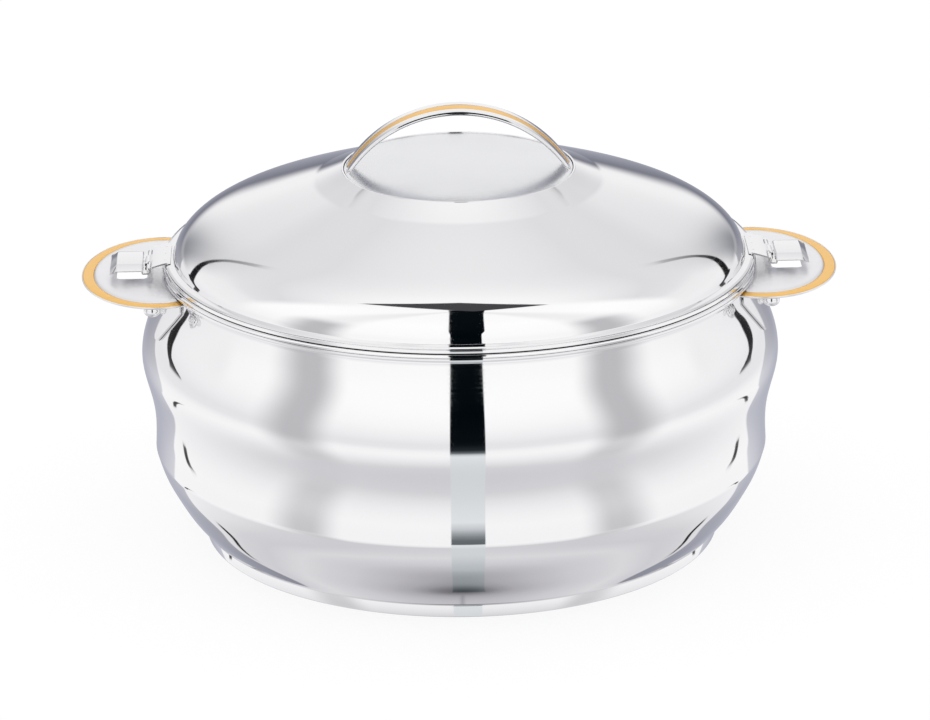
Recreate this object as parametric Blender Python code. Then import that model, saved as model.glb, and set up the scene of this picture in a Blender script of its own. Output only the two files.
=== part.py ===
"""Insulated chapati casserole: a double-walled steel body with two side handles, a lift-off
double-walled lid with an arched handle, and a hinged latch over each side handle.

Metres, +Z up. The origin is the centre of the foot ring's underside. +X runs from handle to
handle, and -Y is the front.
"""
import math

import bmesh
import bpy
from mathutils import Matrix, Vector

MM = 0.001

# Clearances between neighbouring pieces
SEAT_GAP = 0.3 * MM
FOAM_GAP = 0.5 * MM
PIN_GAP = 0.15 * MM
CUT_OVERRUN = 5.0 * MM
MERGE_DISTANCE = 0.001 * MM

# Facets round a full turn
TURN_STEPS = 36
FOAM_STEPS = 18
HANDLE_STEPS = 56
PIN_STEPS = 12
CORNER_STEPS = 4
CURL_STEPS = 10
ROLL_STEPS = 6
ARCH_STEPS = 20

# Sheet thicknesses
SHELL_WALL = 1.0 * MM
BOWL_WALL = 0.8 * MM
BAND_WALL = 0.9 * MM
LID_WALL = 0.9 * MM
LINER_WALL = 0.7 * MM
BASE_WALL = 1.0 * MM

# Foot ring and base plate
FOOT_RADIUS = 122.9 * MM
FOOT_HEIGHT = 6.2 * MM
FOOT_WALL = 1.5 * MM
FOOT_SOLE = 6.0 * MM
FOOT_SOLE_WALL = 1.2 * MM
BASE_PANEL_RADIUS = 90.0 * MM
BASE_PANEL_DROP = 0.6 * MM
BASE_PANEL_SLOPE = 4.0 * MM

# Outer shell: two swells with a waist between them, drawn in to the neck under the rim
SHELL_FOOT_RADIUS = 124.3 * MM
SHELL_SOLE = 13.0 * MM
LOWER_BELLY_RADIUS = 145.0 * MM
WAIST_RADIUS = 144.9 * MM
BELLY_RADIUS = 150.7 * MM
NECK_RADIUS = 136.3 * MM
TAPER_HEIGHT = 39.5 * MM
WAIST_HEIGHT = 12.0 * MM
FLARE_HEIGHT = 31.5 * MM
SHOULDER_HEIGHT = 38.5 * MM
NECK_HEIGHT = 3.4 * MM

# Each share pair is (part of the radius step, part of the height)
TAPER_SHARES = ((0.222, 0.139), (0.609, 0.443), (0.812, 0.646), (0.957, 0.848), (1.0, 1.0))
FLARE_SHARES = ((0.05, 0.19), (0.293, 0.444), (0.707, 0.698), (0.897, 0.825), (1.0, 1.0))
SHOULDER_SHARES = (
    (0.056, 0.169), (0.243, 0.377), (0.479, 0.584), (0.75, 0.792), (0.93, 0.922), (1.0, 1.0),
)

# Inner bowl
MOUTH_LEDGE = 11.3 * MM
SIDE_FOAM = 8.0 * MM
BOWL_FLOOR = 22.0 * MM
BOWL_CORNER = 20.0 * MM
BOWL_MOUTH_CORNER = 2.2 * MM
BOWL_FLANGE_INSET = 0.4 * MM

# Rolled rim band that grips the bowl's flange and the shell's neck
BAND_GRIP = 2.1 * MM
BAND_SWELL = 2.6 * MM
BAND_TOP_WIDTH = 11.0 * MM

# Lid: flange, dome, boss and recess
PLUG_CLEARANCE = 1.2 * MM
PLUG_DEPTH = 12.5 * MM
PLUG_CORNER = 4.0 * MM
FLANGE_OVERHANG = 2.8 * MM
FLANGE_EDGE = 0.6 * MM
LEDGE_WIDTH = 3.4 * MM
LEDGE_RISE = 0.5 * MM
LEDGE_EDGE_RISE = 0.9 * MM
LEDGE_INNER_STEP = 0.4 * MM
DOME_FOOT_RISE = 1.5 * MM
DOME_RADIUS = 134.6 * MM
DOME_SHOULDER_RADIUS = 114.0 * MM
DOME_SHOULDER_HEIGHT = 17.9 * MM
DOME_SLOPE_HEIGHT = 14.1 * MM
BOSS_FOOT_RADIUS = 68.0 * MM
BOSS_RADIUS = 54.8 * MM
BOSS_HEIGHT = 8.4 * MM
BOSS_LIP_WALL = 0.9 * MM
RECESS_DEPTH = 3.0 * MM
TOP_DISC_WALL = 1.3 * MM
DOME_SHOULDER_SHARES = ((0.291, 0.14), (0.583, 0.335), (0.80, 0.547), (0.951, 0.799), (1.0, 1.0))
BOSS_FLANK_SHARES = ((0.088, 0.14), (0.265, 0.453), (0.559, 0.744), (1.0, 1.0))

# Arched lid handle
ARCH_HEIGHT = 30.1 * MM
ARCH_FOOT_INSET = 0.8 * MM
STRAP_THICKNESS = 2.4 * MM
STRAP_WIDTH = 17.6 * MM
STRAP_FOOT_WIDTH = 16.8 * MM
STRAP_CROWN = 0.6 * MM
STRAP_EDGE_SHARE = 0.62
STRAP_EDGE_CROWN_SHARE = 0.35
STRAP_BACK_SHARE = 0.92
INLAY_WIDTH = 6.0 * MM
INLAY_THICKNESS = 0.5 * MM
INLAY_FOOT_RISE = 2.0 * MM

# Side handle plates
HANDLE_CENTRE_OFFSET = 4.7 * MM
HANDLE_REACH = 36.8 * MM
HANDLE_HALF_WIDTH = 52.0 * MM
HANDLE_NECK_GAP = 0.6 * MM
HANDLE_SHEET = 1.0 * MM
BORDER_WIDTH = 6.0 * MM
BORDER_STEP_RUN = 0.3 * MM
BORDER_DEPTH = 1.4 * MM
BORDER_FALL = 0.2 * MM
LIP_WIDTH = 0.8 * MM
LIP_HEIGHT = 0.8 * MM
LIP_ROUND = 0.2 * MM
TRIM_THICKNESS = 0.5 * MM
SLOT_LENGTH = 25.0 * MM
SLOT_WIDTH = 14.5 * MM
SLOT_CORNER = 2.5 * MM

# Brackets under the side handles
BRACKET_SHEET = 1.2 * MM
BRACKET_INSET = 7.6 * MM
BRACKET_SLOT_GAP = 1.2 * MM
TONGUE_TOP_ANGLE = math.radians(18.0)
TONGUE_END_ANGLE = math.radians(12.4)
TONGUE_DROP = 18.5 * MM
TONGUE_TOP_WIDTH = 14.0 * MM
TONGUE_WIDTH = 12.0 * MM
TONGUE_TIP_WIDTH = 2.0 * MM
TONGUE_NECK_SHARE = 0.8
TONGUE_ROWS = 7
TONGUE_COLUMNS = 4
GUSSET_INSET = 5.2 * MM
GUSSET_DROP = 2.6 * MM
GUSSET_START_ANGLE = math.radians(80)
GUSSET_END_ANGLE = math.radians(104)
GUSSET_WELD_ANGLE = math.radians(2.0)
GUSSET_ROUND = math.radians(140)
GUSSET_STEPS = 6

# Latches: a leaf welded to the lid's flange, a pinned lever and its catch spring
LATCH_SHEET = 0.7 * MM
LATCH_WIDTH = 28.6 * MM
LEAF_WIDTH = 30.0 * MM
LEAF_INSET = 1.4 * MM
HINGE_REACH = 7.1 * MM
HINGE_HEIGHT = 0.8 * MM
PIN_RADIUS = 0.8 * MM
PIN_END = 0.5 * MM
LEAF_KNUCKLE_WIDTH = 9.4 * MM
LEAF_CURL_END = math.radians(165)
LEVER_CURL_START = math.radians(100)
LEVER_CURL_END = math.radians(270)
HUMP_WALL_GAP = 0.45 * MM
HUMP_HEIGHT = 2.1 * MM
HUMP_CORNER = 0.7 * MM
HUMP_LENGTH = 11.6 * MM
LEVER_SLOPE_RUN = 1.9 * MM
LEVER_SLOPE_FALL = 2.7 * MM
LEVER_LIP = 1.1 * MM
LEVER_LIP_FALL = 0.3 * MM
SPRING_SHEET = 0.4 * MM
SPRING_WIDTH = 24.0 * MM
SPRING_LENGTH = 9.6 * MM
SPRING_START_GAP = 0.5 * MM
SPRING_DIP = 2.1 * MM
# Each share pair is (part of the spring's length, part of its dip)
SPRING_BOW_SHARES = (
    (0.0, 0.55), (0.15, 0.86), (0.32, 1.0), (0.52, 0.88), (0.7, 0.42), (0.85, 0.0), (1.0, 0.0),
)

# Heights that follow from the stack of pieces
SHELL_BASE = FOOT_HEIGHT + SEAT_GAP
BELLY_BASE = SHELL_BASE + TAPER_HEIGHT + WAIST_HEIGHT
SHELL_TOP = (
    SHELL_BASE + TAPER_HEIGHT + WAIST_HEIGHT + FLARE_HEIGHT + SHOULDER_HEIGHT + NECK_HEIGHT
)
BOWL_FLANGE_BASE = SHELL_TOP + SEAT_GAP
BOWL_TOP = BOWL_FLANGE_BASE + BOWL_WALL
BAND_TOP = BOWL_TOP + SEAT_GAP + BAND_WALL
BAND_BASE = SHELL_TOP - BAND_GRIP
LID_BASE = BAND_TOP + SEAT_GAP
FLANGE_BASE = LID_BASE + LINER_WALL + SEAT_GAP
DOME_FOOT = FLANGE_BASE + LEDGE_EDGE_RISE + DOME_FOOT_RISE
DOME_SHOULDER_TOP = DOME_FOOT + DOME_SHOULDER_HEIGHT
BOSS_FOOT = DOME_SHOULDER_TOP + DOME_SLOPE_HEIGHT
BOSS_TOP = BOSS_FOOT + BOSS_HEIGHT
RECESS_FLOOR = BOSS_TOP - RECESS_DEPTH
TOP_DISC_TOP = RECESS_FLOOR + SEAT_GAP + TOP_DISC_WALL
ARCH_FOOT = TOP_DISC_TOP + SEAT_GAP
HANDLE_TOP = BAND_BASE - SEAT_GAP

# Radii that follow from their neighbours
BOWL_RADIUS = min(
    NECK_RADIUS - MOUTH_LEDGE,
    min(LOWER_BELLY_RADIUS, WAIST_RADIUS, BELLY_RADIUS) - SHELL_WALL - SIDE_FOAM,
)
RECESS_RADIUS = BOSS_RADIUS - BOSS_LIP_WALL
FLANGE_RADIUS = NECK_RADIUS + FLANGE_OVERHANG
LEDGE_START_RADIUS = DOME_RADIUS + LEDGE_INNER_STEP
LEDGE_END_RADIUS = LEDGE_START_RADIUS + LEDGE_WIDTH
PLUG_RADIUS = BOWL_RADIUS - BOWL_WALL - PLUG_CLEARANCE
HANDLE_CENTRE = NECK_RADIUS + HANDLE_CENTRE_OFFSET
HINGE_X = FLANGE_RADIUS + HINGE_REACH
HINGE_Z = LID_BASE - HINGE_HEIGHT
CURL_RADIUS = PIN_RADIUS + PIN_GAP + LATCH_SHEET / 2
KNUCKLE_RADIUS = PIN_RADIUS + PIN_GAP + LATCH_SHEET

STEEL = ((0.80, 0.80, 0.82), 1.0, 0.07)
SATIN_STEEL = ((0.72, 0.72, 0.73), 1.0, 0.30)
GOLD = ((0.98, 0.62, 0.26), 1.0, 0.22)
FOAM = ((0.93, 0.88, 0.72), 0.0, 0.90)


def clear_scene():
    for item in list(bpy.data.objects):
        bpy.data.objects.remove(item, do_unlink=True)


def finish(name, look):
    """A Principled material of the piece's own: colour, metallic value and roughness."""
    colour, metallic, roughness = look
    material = bpy.data.materials.new(f"{name}_finish")
    material.use_nodes = True
    shader = material.node_tree.nodes["Principled BSDF"]
    shader.inputs["Base Color"].default_value = (*colour, 1.0)
    shader.inputs["Metallic"].default_value = metallic
    shader.inputs["Roughness"].default_value = roughness
    return material


def add_empty(name, place, parent=None):
    empty = bpy.data.objects.new(name, None)
    bpy.context.collection.objects.link(empty)
    empty.parent = parent
    empty.location = Vector(place)
    return empty


def add_piece(name, bm, look=None, parent=None, smooth=True):
    """Turn a bmesh in the part's own frame into an object, with its origin at its parent's."""
    bmesh.ops.recalc_face_normals(bm, faces=bm.faces)
    mesh = bpy.data.meshes.new(name)
    bm.to_mesh(mesh)
    bm.free()
    if smooth:
        mesh.shade_smooth()
        mesh.set_sharp_from_angle(angle=math.radians(35))
    piece = bpy.data.objects.new(name, mesh)
    bpy.context.collection.objects.link(piece)
    if parent is not None:
        anchor = Vector(parent.location)
        if parent.parent is not None:
            anchor += Vector(parent.parent.location)
        mesh.transform(Matrix.Translation(-anchor))
        piece.parent = parent
    if look is not None:
        mesh.materials.append(finish(name, look))
    return piece


def add_helper(name, bm):
    """A solid that only cuts or extends another piece."""
    helper = add_piece(name, bm, smooth=False)
    helper.hide_render = True
    helper.display_type = "WIRE"
    return helper


def combine(piece, helper, operation):
    modifier = piece.modifiers.new(helper.name, "BOOLEAN")
    modifier.operation = operation
    modifier.solver = "EXACT"
    modifier.object = helper


def stretch(start, end, shares):
    """Points from start towards end, as shares of the radius step and of the height step."""
    return [
        (start[0] + (end[0] - start[0]) * across, start[1] + (end[1] - start[1]) * up)
        for across, up in shares
    ]


def arc(centre, radius, start, end, steps):
    return [
        (
            centre[0] + radius * math.cos(start + (end - start) * step / steps),
            centre[1] + radius * math.sin(start + (end - start) * step / steps),
        )
        for step in range(steps + 1)
    ]


def offset(points, distance):
    """The open outline moved sideways by distance, to the left of its direction."""
    path = [Vector(point) for point in points]
    moved = []
    for index, point in enumerate(path):
        before = (point - path[index - 1]).normalized() if index else None
        after = (path[index + 1] - point).normalized() if index < len(path) - 1 else None
        first = before if before is not None else after
        second = after if after is not None else before
        normal_1 = Vector((-first.y, first.x))
        normal_2 = Vector((-second.y, second.x))
        normal = (normal_1 + normal_2).normalized()
        moved.append(tuple(point + normal * (distance / normal.dot(normal_1))))
    return moved


def radius_at(outline, height):
    """The radius of a rising outline at a height."""
    for (radius, low), (next_radius, high) in zip(outline, outline[1:]):
        if low <= height <= high:
            return radius + (next_radius - radius) * (height - low) / (high - low)
    return outline[-1][0] if height > outline[-1][1] else outline[0][0]


def between(outline, low, high):
    """The stretch of a rising outline between two heights."""
    inner = [point for point in outline if low < point[1] < high]
    return [(radius_at(outline, low), low)] + inner + [(radius_at(outline, high), high)]


def ribbon(centreline, thickness):
    """The closed outline of a bent sheet seen from its edge."""
    half = thickness / 2
    return offset(centreline, half) + offset(centreline, -half)[::-1]


def revolve(outline, steps, closed=True):
    """Spin an outline of (radius, height) points about Z. An open outline ends on the axis."""
    bm = bmesh.new()
    verts = [bm.verts.new((radius, 0, height)) for radius, height in outline]
    edges = [bm.edges.new(pair) for pair in zip(verts, verts[1:])]
    if closed:
        edges.append(bm.edges.new((verts[-1], verts[0])))
    bmesh.ops.spin(
        bm, geom=verts + edges, cent=(0, 0, 0), axis=(0, 0, 1), angle=math.tau,
        steps=steps, use_merge=True, use_normal_flip=False, use_duplicate=False,
    )
    bmesh.ops.remove_doubles(bm, verts=bm.verts, dist=MERGE_DISTANCE)
    return bm


def loft(loops, capped=True):
    """Skin a row of closed loops that have as many points each, and close both ends."""
    bm = bmesh.new()
    rows = [[bm.verts.new(point) for point in loop] for loop in loops]
    count = len(rows[0])
    for row, following in zip(rows, rows[1:]):
        for index in range(count):
            turn = (index + 1) % count
            bm.faces.new((row[index], row[turn], following[turn], following[index]))
    if capped:
        bm.faces.new(rows[0])
        bm.faces.new(rows[-1])
    return bm


def extrude_along_y(outline, width):
    """A closed outline of (x, z) points made into a solid that is centred on y = 0."""
    half = width / 2
    return loft([[(x, y, z) for x, z in outline] for y in (-half, half)])


def extrude_up(outline, base, top):
    """A closed outline of (x, y) points made into an upright prism."""
    return loft([[(x, y, z) for x, y in outline] for z in (base, top)])


def box(low, high):
    return extrude_up(
        [(low[0], low[1]), (high[0], low[1]), (high[0], high[1]), (low[0], high[1])],
        low[2], high[2],
    )


def to_side(bm, side):
    """Mirror a solid that was built on +X over to -X when side is -1."""
    for vert in bm.verts:
        vert.co.x *= side
    return bm


def ellipse_loop(centre_x, reach, half_width, height, steps=HANDLE_STEPS):
    return [
        (
            centre_x + reach * math.cos(math.tau * step / steps),
            half_width * math.sin(math.tau * step / steps),
            height,
        )
        for step in range(steps)
    ]


def rounded_rectangle(low, high, corner):
    points = []
    centres = (
        (high[0] - corner, high[1] - corner, 0),
        (low[0] + corner, high[1] - corner, 1),
        (low[0] + corner, low[1] + corner, 2),
        (high[0] - corner, low[1] + corner, 3),
    )
    for x, y, quarter in centres:
        start = quarter * math.pi / 2
        points += arc((x, y), corner, start, start + math.pi / 2, CORNER_STEPS)
    return points


def shell_outline():
    """The outside of the outer shell, from the foot up to the neck."""
    foot = (SHELL_FOOT_RADIUS, SHELL_BASE)
    lower_belly = (LOWER_BELLY_RADIUS, foot[1] + TAPER_HEIGHT)
    waist = (WAIST_RADIUS, lower_belly[1] + WAIST_HEIGHT)
    belly = (BELLY_RADIUS, waist[1] + FLARE_HEIGHT)
    neck = (NECK_RADIUS, belly[1] + SHOULDER_HEIGHT)
    return (
        [foot]
        + stretch(foot, lower_belly, TAPER_SHARES)
        + [waist]
        + stretch(waist, belly, FLARE_SHARES)
        + stretch(belly, neck, SHOULDER_SHARES)
        + [(NECK_RADIUS, SHELL_TOP)]
    )


def shell_radius(height):
    """The outer shell's outside radius at a height."""
    return radius_at(shell_outline(), height)


def shell_lining():
    """The inside of the outer shell, on every second point of its outside."""
    outside = shell_outline()
    lining = offset(outside[1:-1:2] + [outside[-1]], SHELL_WALL)
    floor = SHELL_BASE + SHELL_WALL
    return [(SHELL_FOOT_RADIUS - SHELL_WALL, floor)] + lining[:-1] + [
        (NECK_RADIUS - SHELL_WALL, SHELL_TOP)
    ]


def bowl_outside():
    """The side of the bowl that faces the insulation, from its centre out to its flange."""
    corner = (BOWL_RADIUS - BOWL_CORNER, BOWL_FLOOR + BOWL_CORNER)
    mouth = (BOWL_RADIUS + BOWL_MOUTH_CORNER, BOWL_FLANGE_BASE - BOWL_MOUTH_CORNER)
    return (
        [(0, BOWL_FLOOR)]
        + arc(corner, BOWL_CORNER, -math.pi / 2, 0, CORNER_STEPS)
        + arc(mouth, BOWL_MOUTH_CORNER, math.pi, math.pi / 2, CORNER_STEPS // 2)
    )


def dome_outside():
    """The top of the lid from the boss's lip down to the foot of the dome."""
    lip = (BOSS_RADIUS, BOSS_TOP)
    boss_foot = (BOSS_FOOT_RADIUS, BOSS_FOOT)
    shoulder = (DOME_SHOULDER_RADIUS, DOME_SHOULDER_TOP)
    foot = (DOME_RADIUS, DOME_FOOT)
    return (
        [lip]
        + stretch(lip, boss_foot, BOSS_FLANK_SHARES)
        + [shoulder]
        + stretch(shoulder, foot, DOME_SHOULDER_SHARES)
    )


def dome_lining():
    """The underside of the lid from below the recess's floor down to the flange."""
    under = offset(dome_outside()[2:], -LID_WALL)
    return [(0, RECESS_FLOOR - LID_WALL), (under[0][0] - LID_WALL, RECESS_FLOOR - LID_WALL)] + under


def liner_underside():
    """The side of the lid's liner that faces the food, from its centre out to its flange."""
    floor = LID_BASE - PLUG_DEPTH
    corner = (PLUG_RADIUS - PLUG_CORNER, floor + PLUG_CORNER)
    shoulder = (PLUG_RADIUS + LINER_WALL, LID_BASE - LINER_WALL)
    return (
        [(0, floor)]
        + arc(corner, PLUG_CORNER, -math.pi / 2, 0, CORNER_STEPS)
        + arc(shoulder, LINER_WALL, math.pi, math.pi / 2, 1)
    )


def make_foot_ring():
    inner = FOOT_RADIUS - FOOT_WALL
    sole = FOOT_RADIUS - FOOT_SOLE
    outline = [
        (sole, 0), (FOOT_RADIUS, 0), (FOOT_RADIUS, FOOT_HEIGHT), (inner, FOOT_HEIGHT),
        (inner, FOOT_SOLE_WALL), (sole, FOOT_SOLE_WALL),
    ]
    return add_piece("foot_ring", revolve(outline, TURN_STEPS), STEEL)


def make_base_plate():
    edge = FOOT_RADIUS - FOOT_WALL - SEAT_GAP
    base = FOOT_HEIGHT - BASE_WALL
    panel_edge = BASE_PANEL_RADIUS + BASE_PANEL_SLOPE
    outline = [
        (0, base - BASE_PANEL_DROP), (BASE_PANEL_RADIUS, base - BASE_PANEL_DROP),
        (panel_edge, base), (edge, base), (edge, FOOT_HEIGHT), (panel_edge, FOOT_HEIGHT),
        (BASE_PANEL_RADIUS, FOOT_HEIGHT - BASE_PANEL_DROP), (0, FOOT_HEIGHT - BASE_PANEL_DROP),
    ]
    return add_piece("base_plate", revolve(outline, TURN_STEPS, closed=False), SATIN_STEEL)


def make_outer_shell():
    sole = SHELL_FOOT_RADIUS - SHELL_SOLE
    outline = (
        [(sole, SHELL_BASE)] + shell_outline() + shell_lining()[::-1]
        + [(sole, SHELL_BASE + SHELL_WALL)]
    )
    return add_piece("outer_shell", revolve(outline, TURN_STEPS), STEEL)


def make_inner_bowl():
    edge = NECK_RADIUS - BOWL_FLANGE_INSET
    outside = bowl_outside() + [(edge, BOWL_FLANGE_BASE)]
    inside = offset(outside, BOWL_WALL)
    inside[0] = (0, BOWL_FLOOR + BOWL_WALL)
    outline = outside + inside[::-1]
    return add_piece("inner_bowl", revolve(outline, TURN_STEPS, closed=False), SATIN_STEEL)


def make_body_insulation():
    """Foam that fills the space between the shell and the bowl."""
    hole = SHELL_FOOT_RADIUS - SHELL_SOLE - FOAM_GAP
    floor = SHELL_BASE + SHELL_WALL + FOAM_GAP
    chord = 1 / math.cos(math.pi / FOAM_STEPS)
    top = BAND_BASE - FOAM_GAP
    outside = between(offset(shell_lining(), FOAM_GAP), floor, top)
    inside = [(radius * chord, height) for radius, height in offset(bowl_outside(), -FOAM_GAP)]
    inside = between(inside[1:], inside[1][1], top)
    outline = (
        [(0, SHELL_BASE), (hole, SHELL_BASE), (hole, floor)]
        + outside + inside[::-1] + [(0, BOWL_FLOOR - FOAM_GAP)]
    )
    bm = revolve(outline, FOAM_STEPS, closed=False)
    return add_piece("body_insulation", bm, FOAM, smooth=False)


def make_rim_band():
    """A rolled band, open inwards, with a flat top that the lid rests on."""
    middle = (BAND_TOP + BAND_BASE) / 2
    outer = (BAND_TOP - BAND_BASE) / 2
    lip = NECK_RADIUS + SEAT_GAP
    bulge_centre = NECK_RADIUS + SEAT_GAP + BAND_WALL
    swell_share = BAND_SWELL / outer
    roll = [
        (bulge_centre + (radius - bulge_centre) * swell_share, height)
        for radius, height in arc((bulge_centre, middle), outer, math.pi / 2, -math.pi / 2,
                                  ROLL_STEPS)
    ]
    bore = outer - BAND_WALL
    bore_share = (BAND_SWELL - BAND_WALL) / bore
    hollow = [
        (bulge_centre + (radius - bulge_centre) * bore_share, height)
        for radius, height in arc((bulge_centre, middle), bore, -math.pi / 2, math.pi / 2,
                                  ROLL_STEPS // 2)
    ]
    inner_edge = NECK_RADIUS - BAND_TOP_WIDTH
    outline = (
        [(inner_edge, BAND_TOP)] + roll + [(lip, BAND_BASE), (lip, BAND_BASE + BAND_WALL)]
        + hollow + [(inner_edge, BAND_TOP - BAND_WALL)]
    )
    return add_piece("rim_band", revolve(outline, TURN_STEPS), STEEL)


def make_lid_dome(parent):
    """The pressed top of the lid, with its rim turned down round the liner's flange."""
    ledge = (LEDGE_START_RADIUS, FLANGE_BASE + LEDGE_EDGE_RISE)
    ledge_end = (LEDGE_END_RADIUS, FLANGE_BASE + LEDGE_RISE)
    skirt = FLANGE_RADIUS - FLANGE_EDGE
    outline = (
        [(0, RECESS_FLOOR), (RECESS_RADIUS, RECESS_FLOOR), (RECESS_RADIUS, BOSS_TOP)]
        + dome_outside()
        + [ledge, ledge_end]
        + [(FLANGE_RADIUS, FLANGE_BASE), (FLANGE_RADIUS, LID_BASE + SEAT_GAP)]
        + [(FLANGE_RADIUS - SEAT_GAP, LID_BASE), (skirt, LID_BASE), (skirt, FLANGE_BASE)]
        + [(DOME_RADIUS - LID_WALL, FLANGE_BASE)]
        + dome_lining()[::-1]
    )
    bm = revolve(outline, TURN_STEPS, closed=False)
    return add_piece("lid_dome", bm, STEEL, parent)


def make_lid_liner(parent):
    """The lid's inner pan: a plug that dips into the bowl and a flange that rests on the band."""
    edge = FLANGE_RADIUS - FLANGE_EDGE - SEAT_GAP
    under = liner_underside() + [(edge, LID_BASE)]
    over = offset(under, LINER_WALL)
    over[0] = (0, LID_BASE - PLUG_DEPTH + LINER_WALL)
    bm = revolve(under + over[::-1], TURN_STEPS, closed=False)
    return add_piece("lid_liner", bm, SATIN_STEEL, parent)


def make_lid_insulation(parent):
    """Foam between the dome and the liner."""
    below = offset(liner_underside()[:-2], LINER_WALL + FOAM_GAP)
    above = offset(dome_lining()[1:], -FOAM_GAP)
    flange = FLANGE_BASE + FOAM_GAP
    outline = (
        [(0, below[1][1])] + between(below[1:], below[1][1], flange)
        + between(above[::-1], flange, above[0][1]) + [(0, above[0][1])]
    )
    bm = revolve(outline, FOAM_STEPS, closed=False)
    return add_piece("lid_insulation", bm, FOAM, parent, smooth=False)


def arch_angles(radius, centre_height, foot):
    reach = math.acos((foot - centre_height) / radius)
    return [reach - 2 * reach * step / ARCH_STEPS for step in range(ARCH_STEPS + 1)]


def arch_sections(section, foot):
    """Sections along the arched handle. section gives (y share or length, depth) pairs."""
    span = RECESS_RADIUS - ARCH_FOOT_INSET
    radius = (span ** 2 + ARCH_HEIGHT ** 2) / (2 * ARCH_HEIGHT)
    centre_height = ARCH_FOOT + ARCH_HEIGHT - radius
    loops = []
    for step in range(ARCH_STEPS + 1):
        loop = []
        share = abs(2 * step / ARCH_STEPS - 1)
        width = STRAP_WIDTH + (STRAP_FOOT_WIDTH - STRAP_WIDTH) * share ** 2
        for y_share, y_length, depth in section:
            level = radius - depth
            angle = arch_angles(level, centre_height, foot)[step]
            loop.append((
                level * math.sin(angle),
                y_share * width / 2 + y_length,
                centre_height + level * math.cos(angle),
            ))
        loops.append(loop)
    return loops


def make_lid_handle(parent):
    """A crowned steel strap bent into an arch, with a groove along its crown for the inlay."""
    groove = INLAY_WIDTH / 2 + SEAT_GAP
    depth = INLAY_THICKNESS + SEAT_GAP
    edge_drop = STRAP_CROWN * STRAP_EDGE_CROWN_SHARE
    section = [
        (-1, 0, STRAP_CROWN), (-STRAP_EDGE_SHARE, 0, edge_drop), (0, -groove, 0),
        (0, -groove, depth), (0, groove, depth), (0, groove, 0),
        (STRAP_EDGE_SHARE, 0, edge_drop), (1, 0, STRAP_CROWN),
        (STRAP_BACK_SHARE, 0, STRAP_THICKNESS), (-STRAP_BACK_SHARE, 0, STRAP_THICKNESS),
    ]
    return add_piece("lid_handle", loft(arch_sections(section, ARCH_FOOT)), STEEL, parent)


def make_lid_handle_inlay(parent):
    """The gold-coloured strip let into the handle's crown."""
    half = INLAY_WIDTH / 2
    section = [(0, -half, 0), (0, half, 0), (0, half, INLAY_THICKNESS), (0, -half, INLAY_THICKNESS)]
    loops = arch_sections(section, ARCH_FOOT + INLAY_FOOT_RISE)
    return add_piece("lid_handle_inlay", loft(loops), GOLD, parent)


def make_top_disc(parent):
    """The flat disc in the boss's recess, which the handle's feet stand on."""
    radius = RECESS_RADIUS - SEAT_GAP
    base = RECESS_FLOOR + SEAT_GAP
    outline = [(0, base), (radius, base), (radius, TOP_DISC_TOP), (0, TOP_DISC_TOP)]
    return add_piece("lid_top_disc", revolve(outline, TURN_STEPS, closed=False), STEEL, parent)


def handle_border():
    """Inset and height of each line round the handle plate's top, then round its underside."""
    floor = HANDLE_TOP - BORDER_DEPTH
    outer_floor = floor - BORDER_FALL
    lip = outer_floor + LIP_HEIGHT
    top = [
        (BORDER_WIDTH, HANDLE_TOP), (BORDER_WIDTH - BORDER_STEP_RUN, floor),
        (LIP_WIDTH + LIP_ROUND, outer_floor), (LIP_WIDTH, lip), (LIP_ROUND, lip),
        (0, lip - LIP_ROUND),
    ]
    under = [
        (0, outer_floor - HANDLE_SHEET + LIP_ROUND), (LIP_ROUND, outer_floor - HANDLE_SHEET),
        (BORDER_WIDTH + HANDLE_SHEET - BORDER_STEP_RUN, floor - HANDLE_SHEET),
        (BORDER_WIDTH + HANDLE_SHEET, HANDLE_TOP - HANDLE_SHEET),
    ]
    return top, under


def neck_cutter(name, radius, side):
    """An upright cylinder round the neck, which the handle's pieces stop at."""
    outline = [(x, y) for x, y, _ in ellipse_loop(0, radius, radius, 0)]
    low = HANDLE_TOP - TONGUE_DROP - CUT_OVERRUN
    return add_helper(name, to_side(extrude_up(outline, low, LID_BASE), side))


def slot_edges():
    """The catch slot's inner and outer edge, counted from the hinge it lies beside."""
    inner = HINGE_X + HUMP_WALL_GAP
    return inner, inner + SLOT_WIDTH


def make_handle_plate(side, hand):
    """The pressed handle plate with its raised middle, lowered border and catch slot."""
    top, under = handle_border()
    loops = [
        ellipse_loop(HANDLE_CENTRE, HANDLE_REACH - inset, HANDLE_HALF_WIDTH - inset, height)
        for inset, height in top + under
    ]
    plate = add_piece(f"{hand}_handle_plate", to_side(loft(loops), side), STEEL)
    seat = shell_radius(top[2][1] - HANDLE_SHEET) + HANDLE_NECK_GAP
    combine(plate, neck_cutter(f"{hand}_plate_neck", seat, side), "DIFFERENCE")
    inner, outer = slot_edges()
    half = SLOT_LENGTH / 2
    outline = rounded_rectangle((inner, -half), (outer, half), SLOT_CORNER)
    slot = extrude_up(outline, HANDLE_TOP - CUT_OVERRUN, HANDLE_TOP + CUT_OVERRUN)
    combine(plate, add_helper(f"{hand}_catch_slot", to_side(slot, side)), "DIFFERENCE")
    return plate


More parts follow.
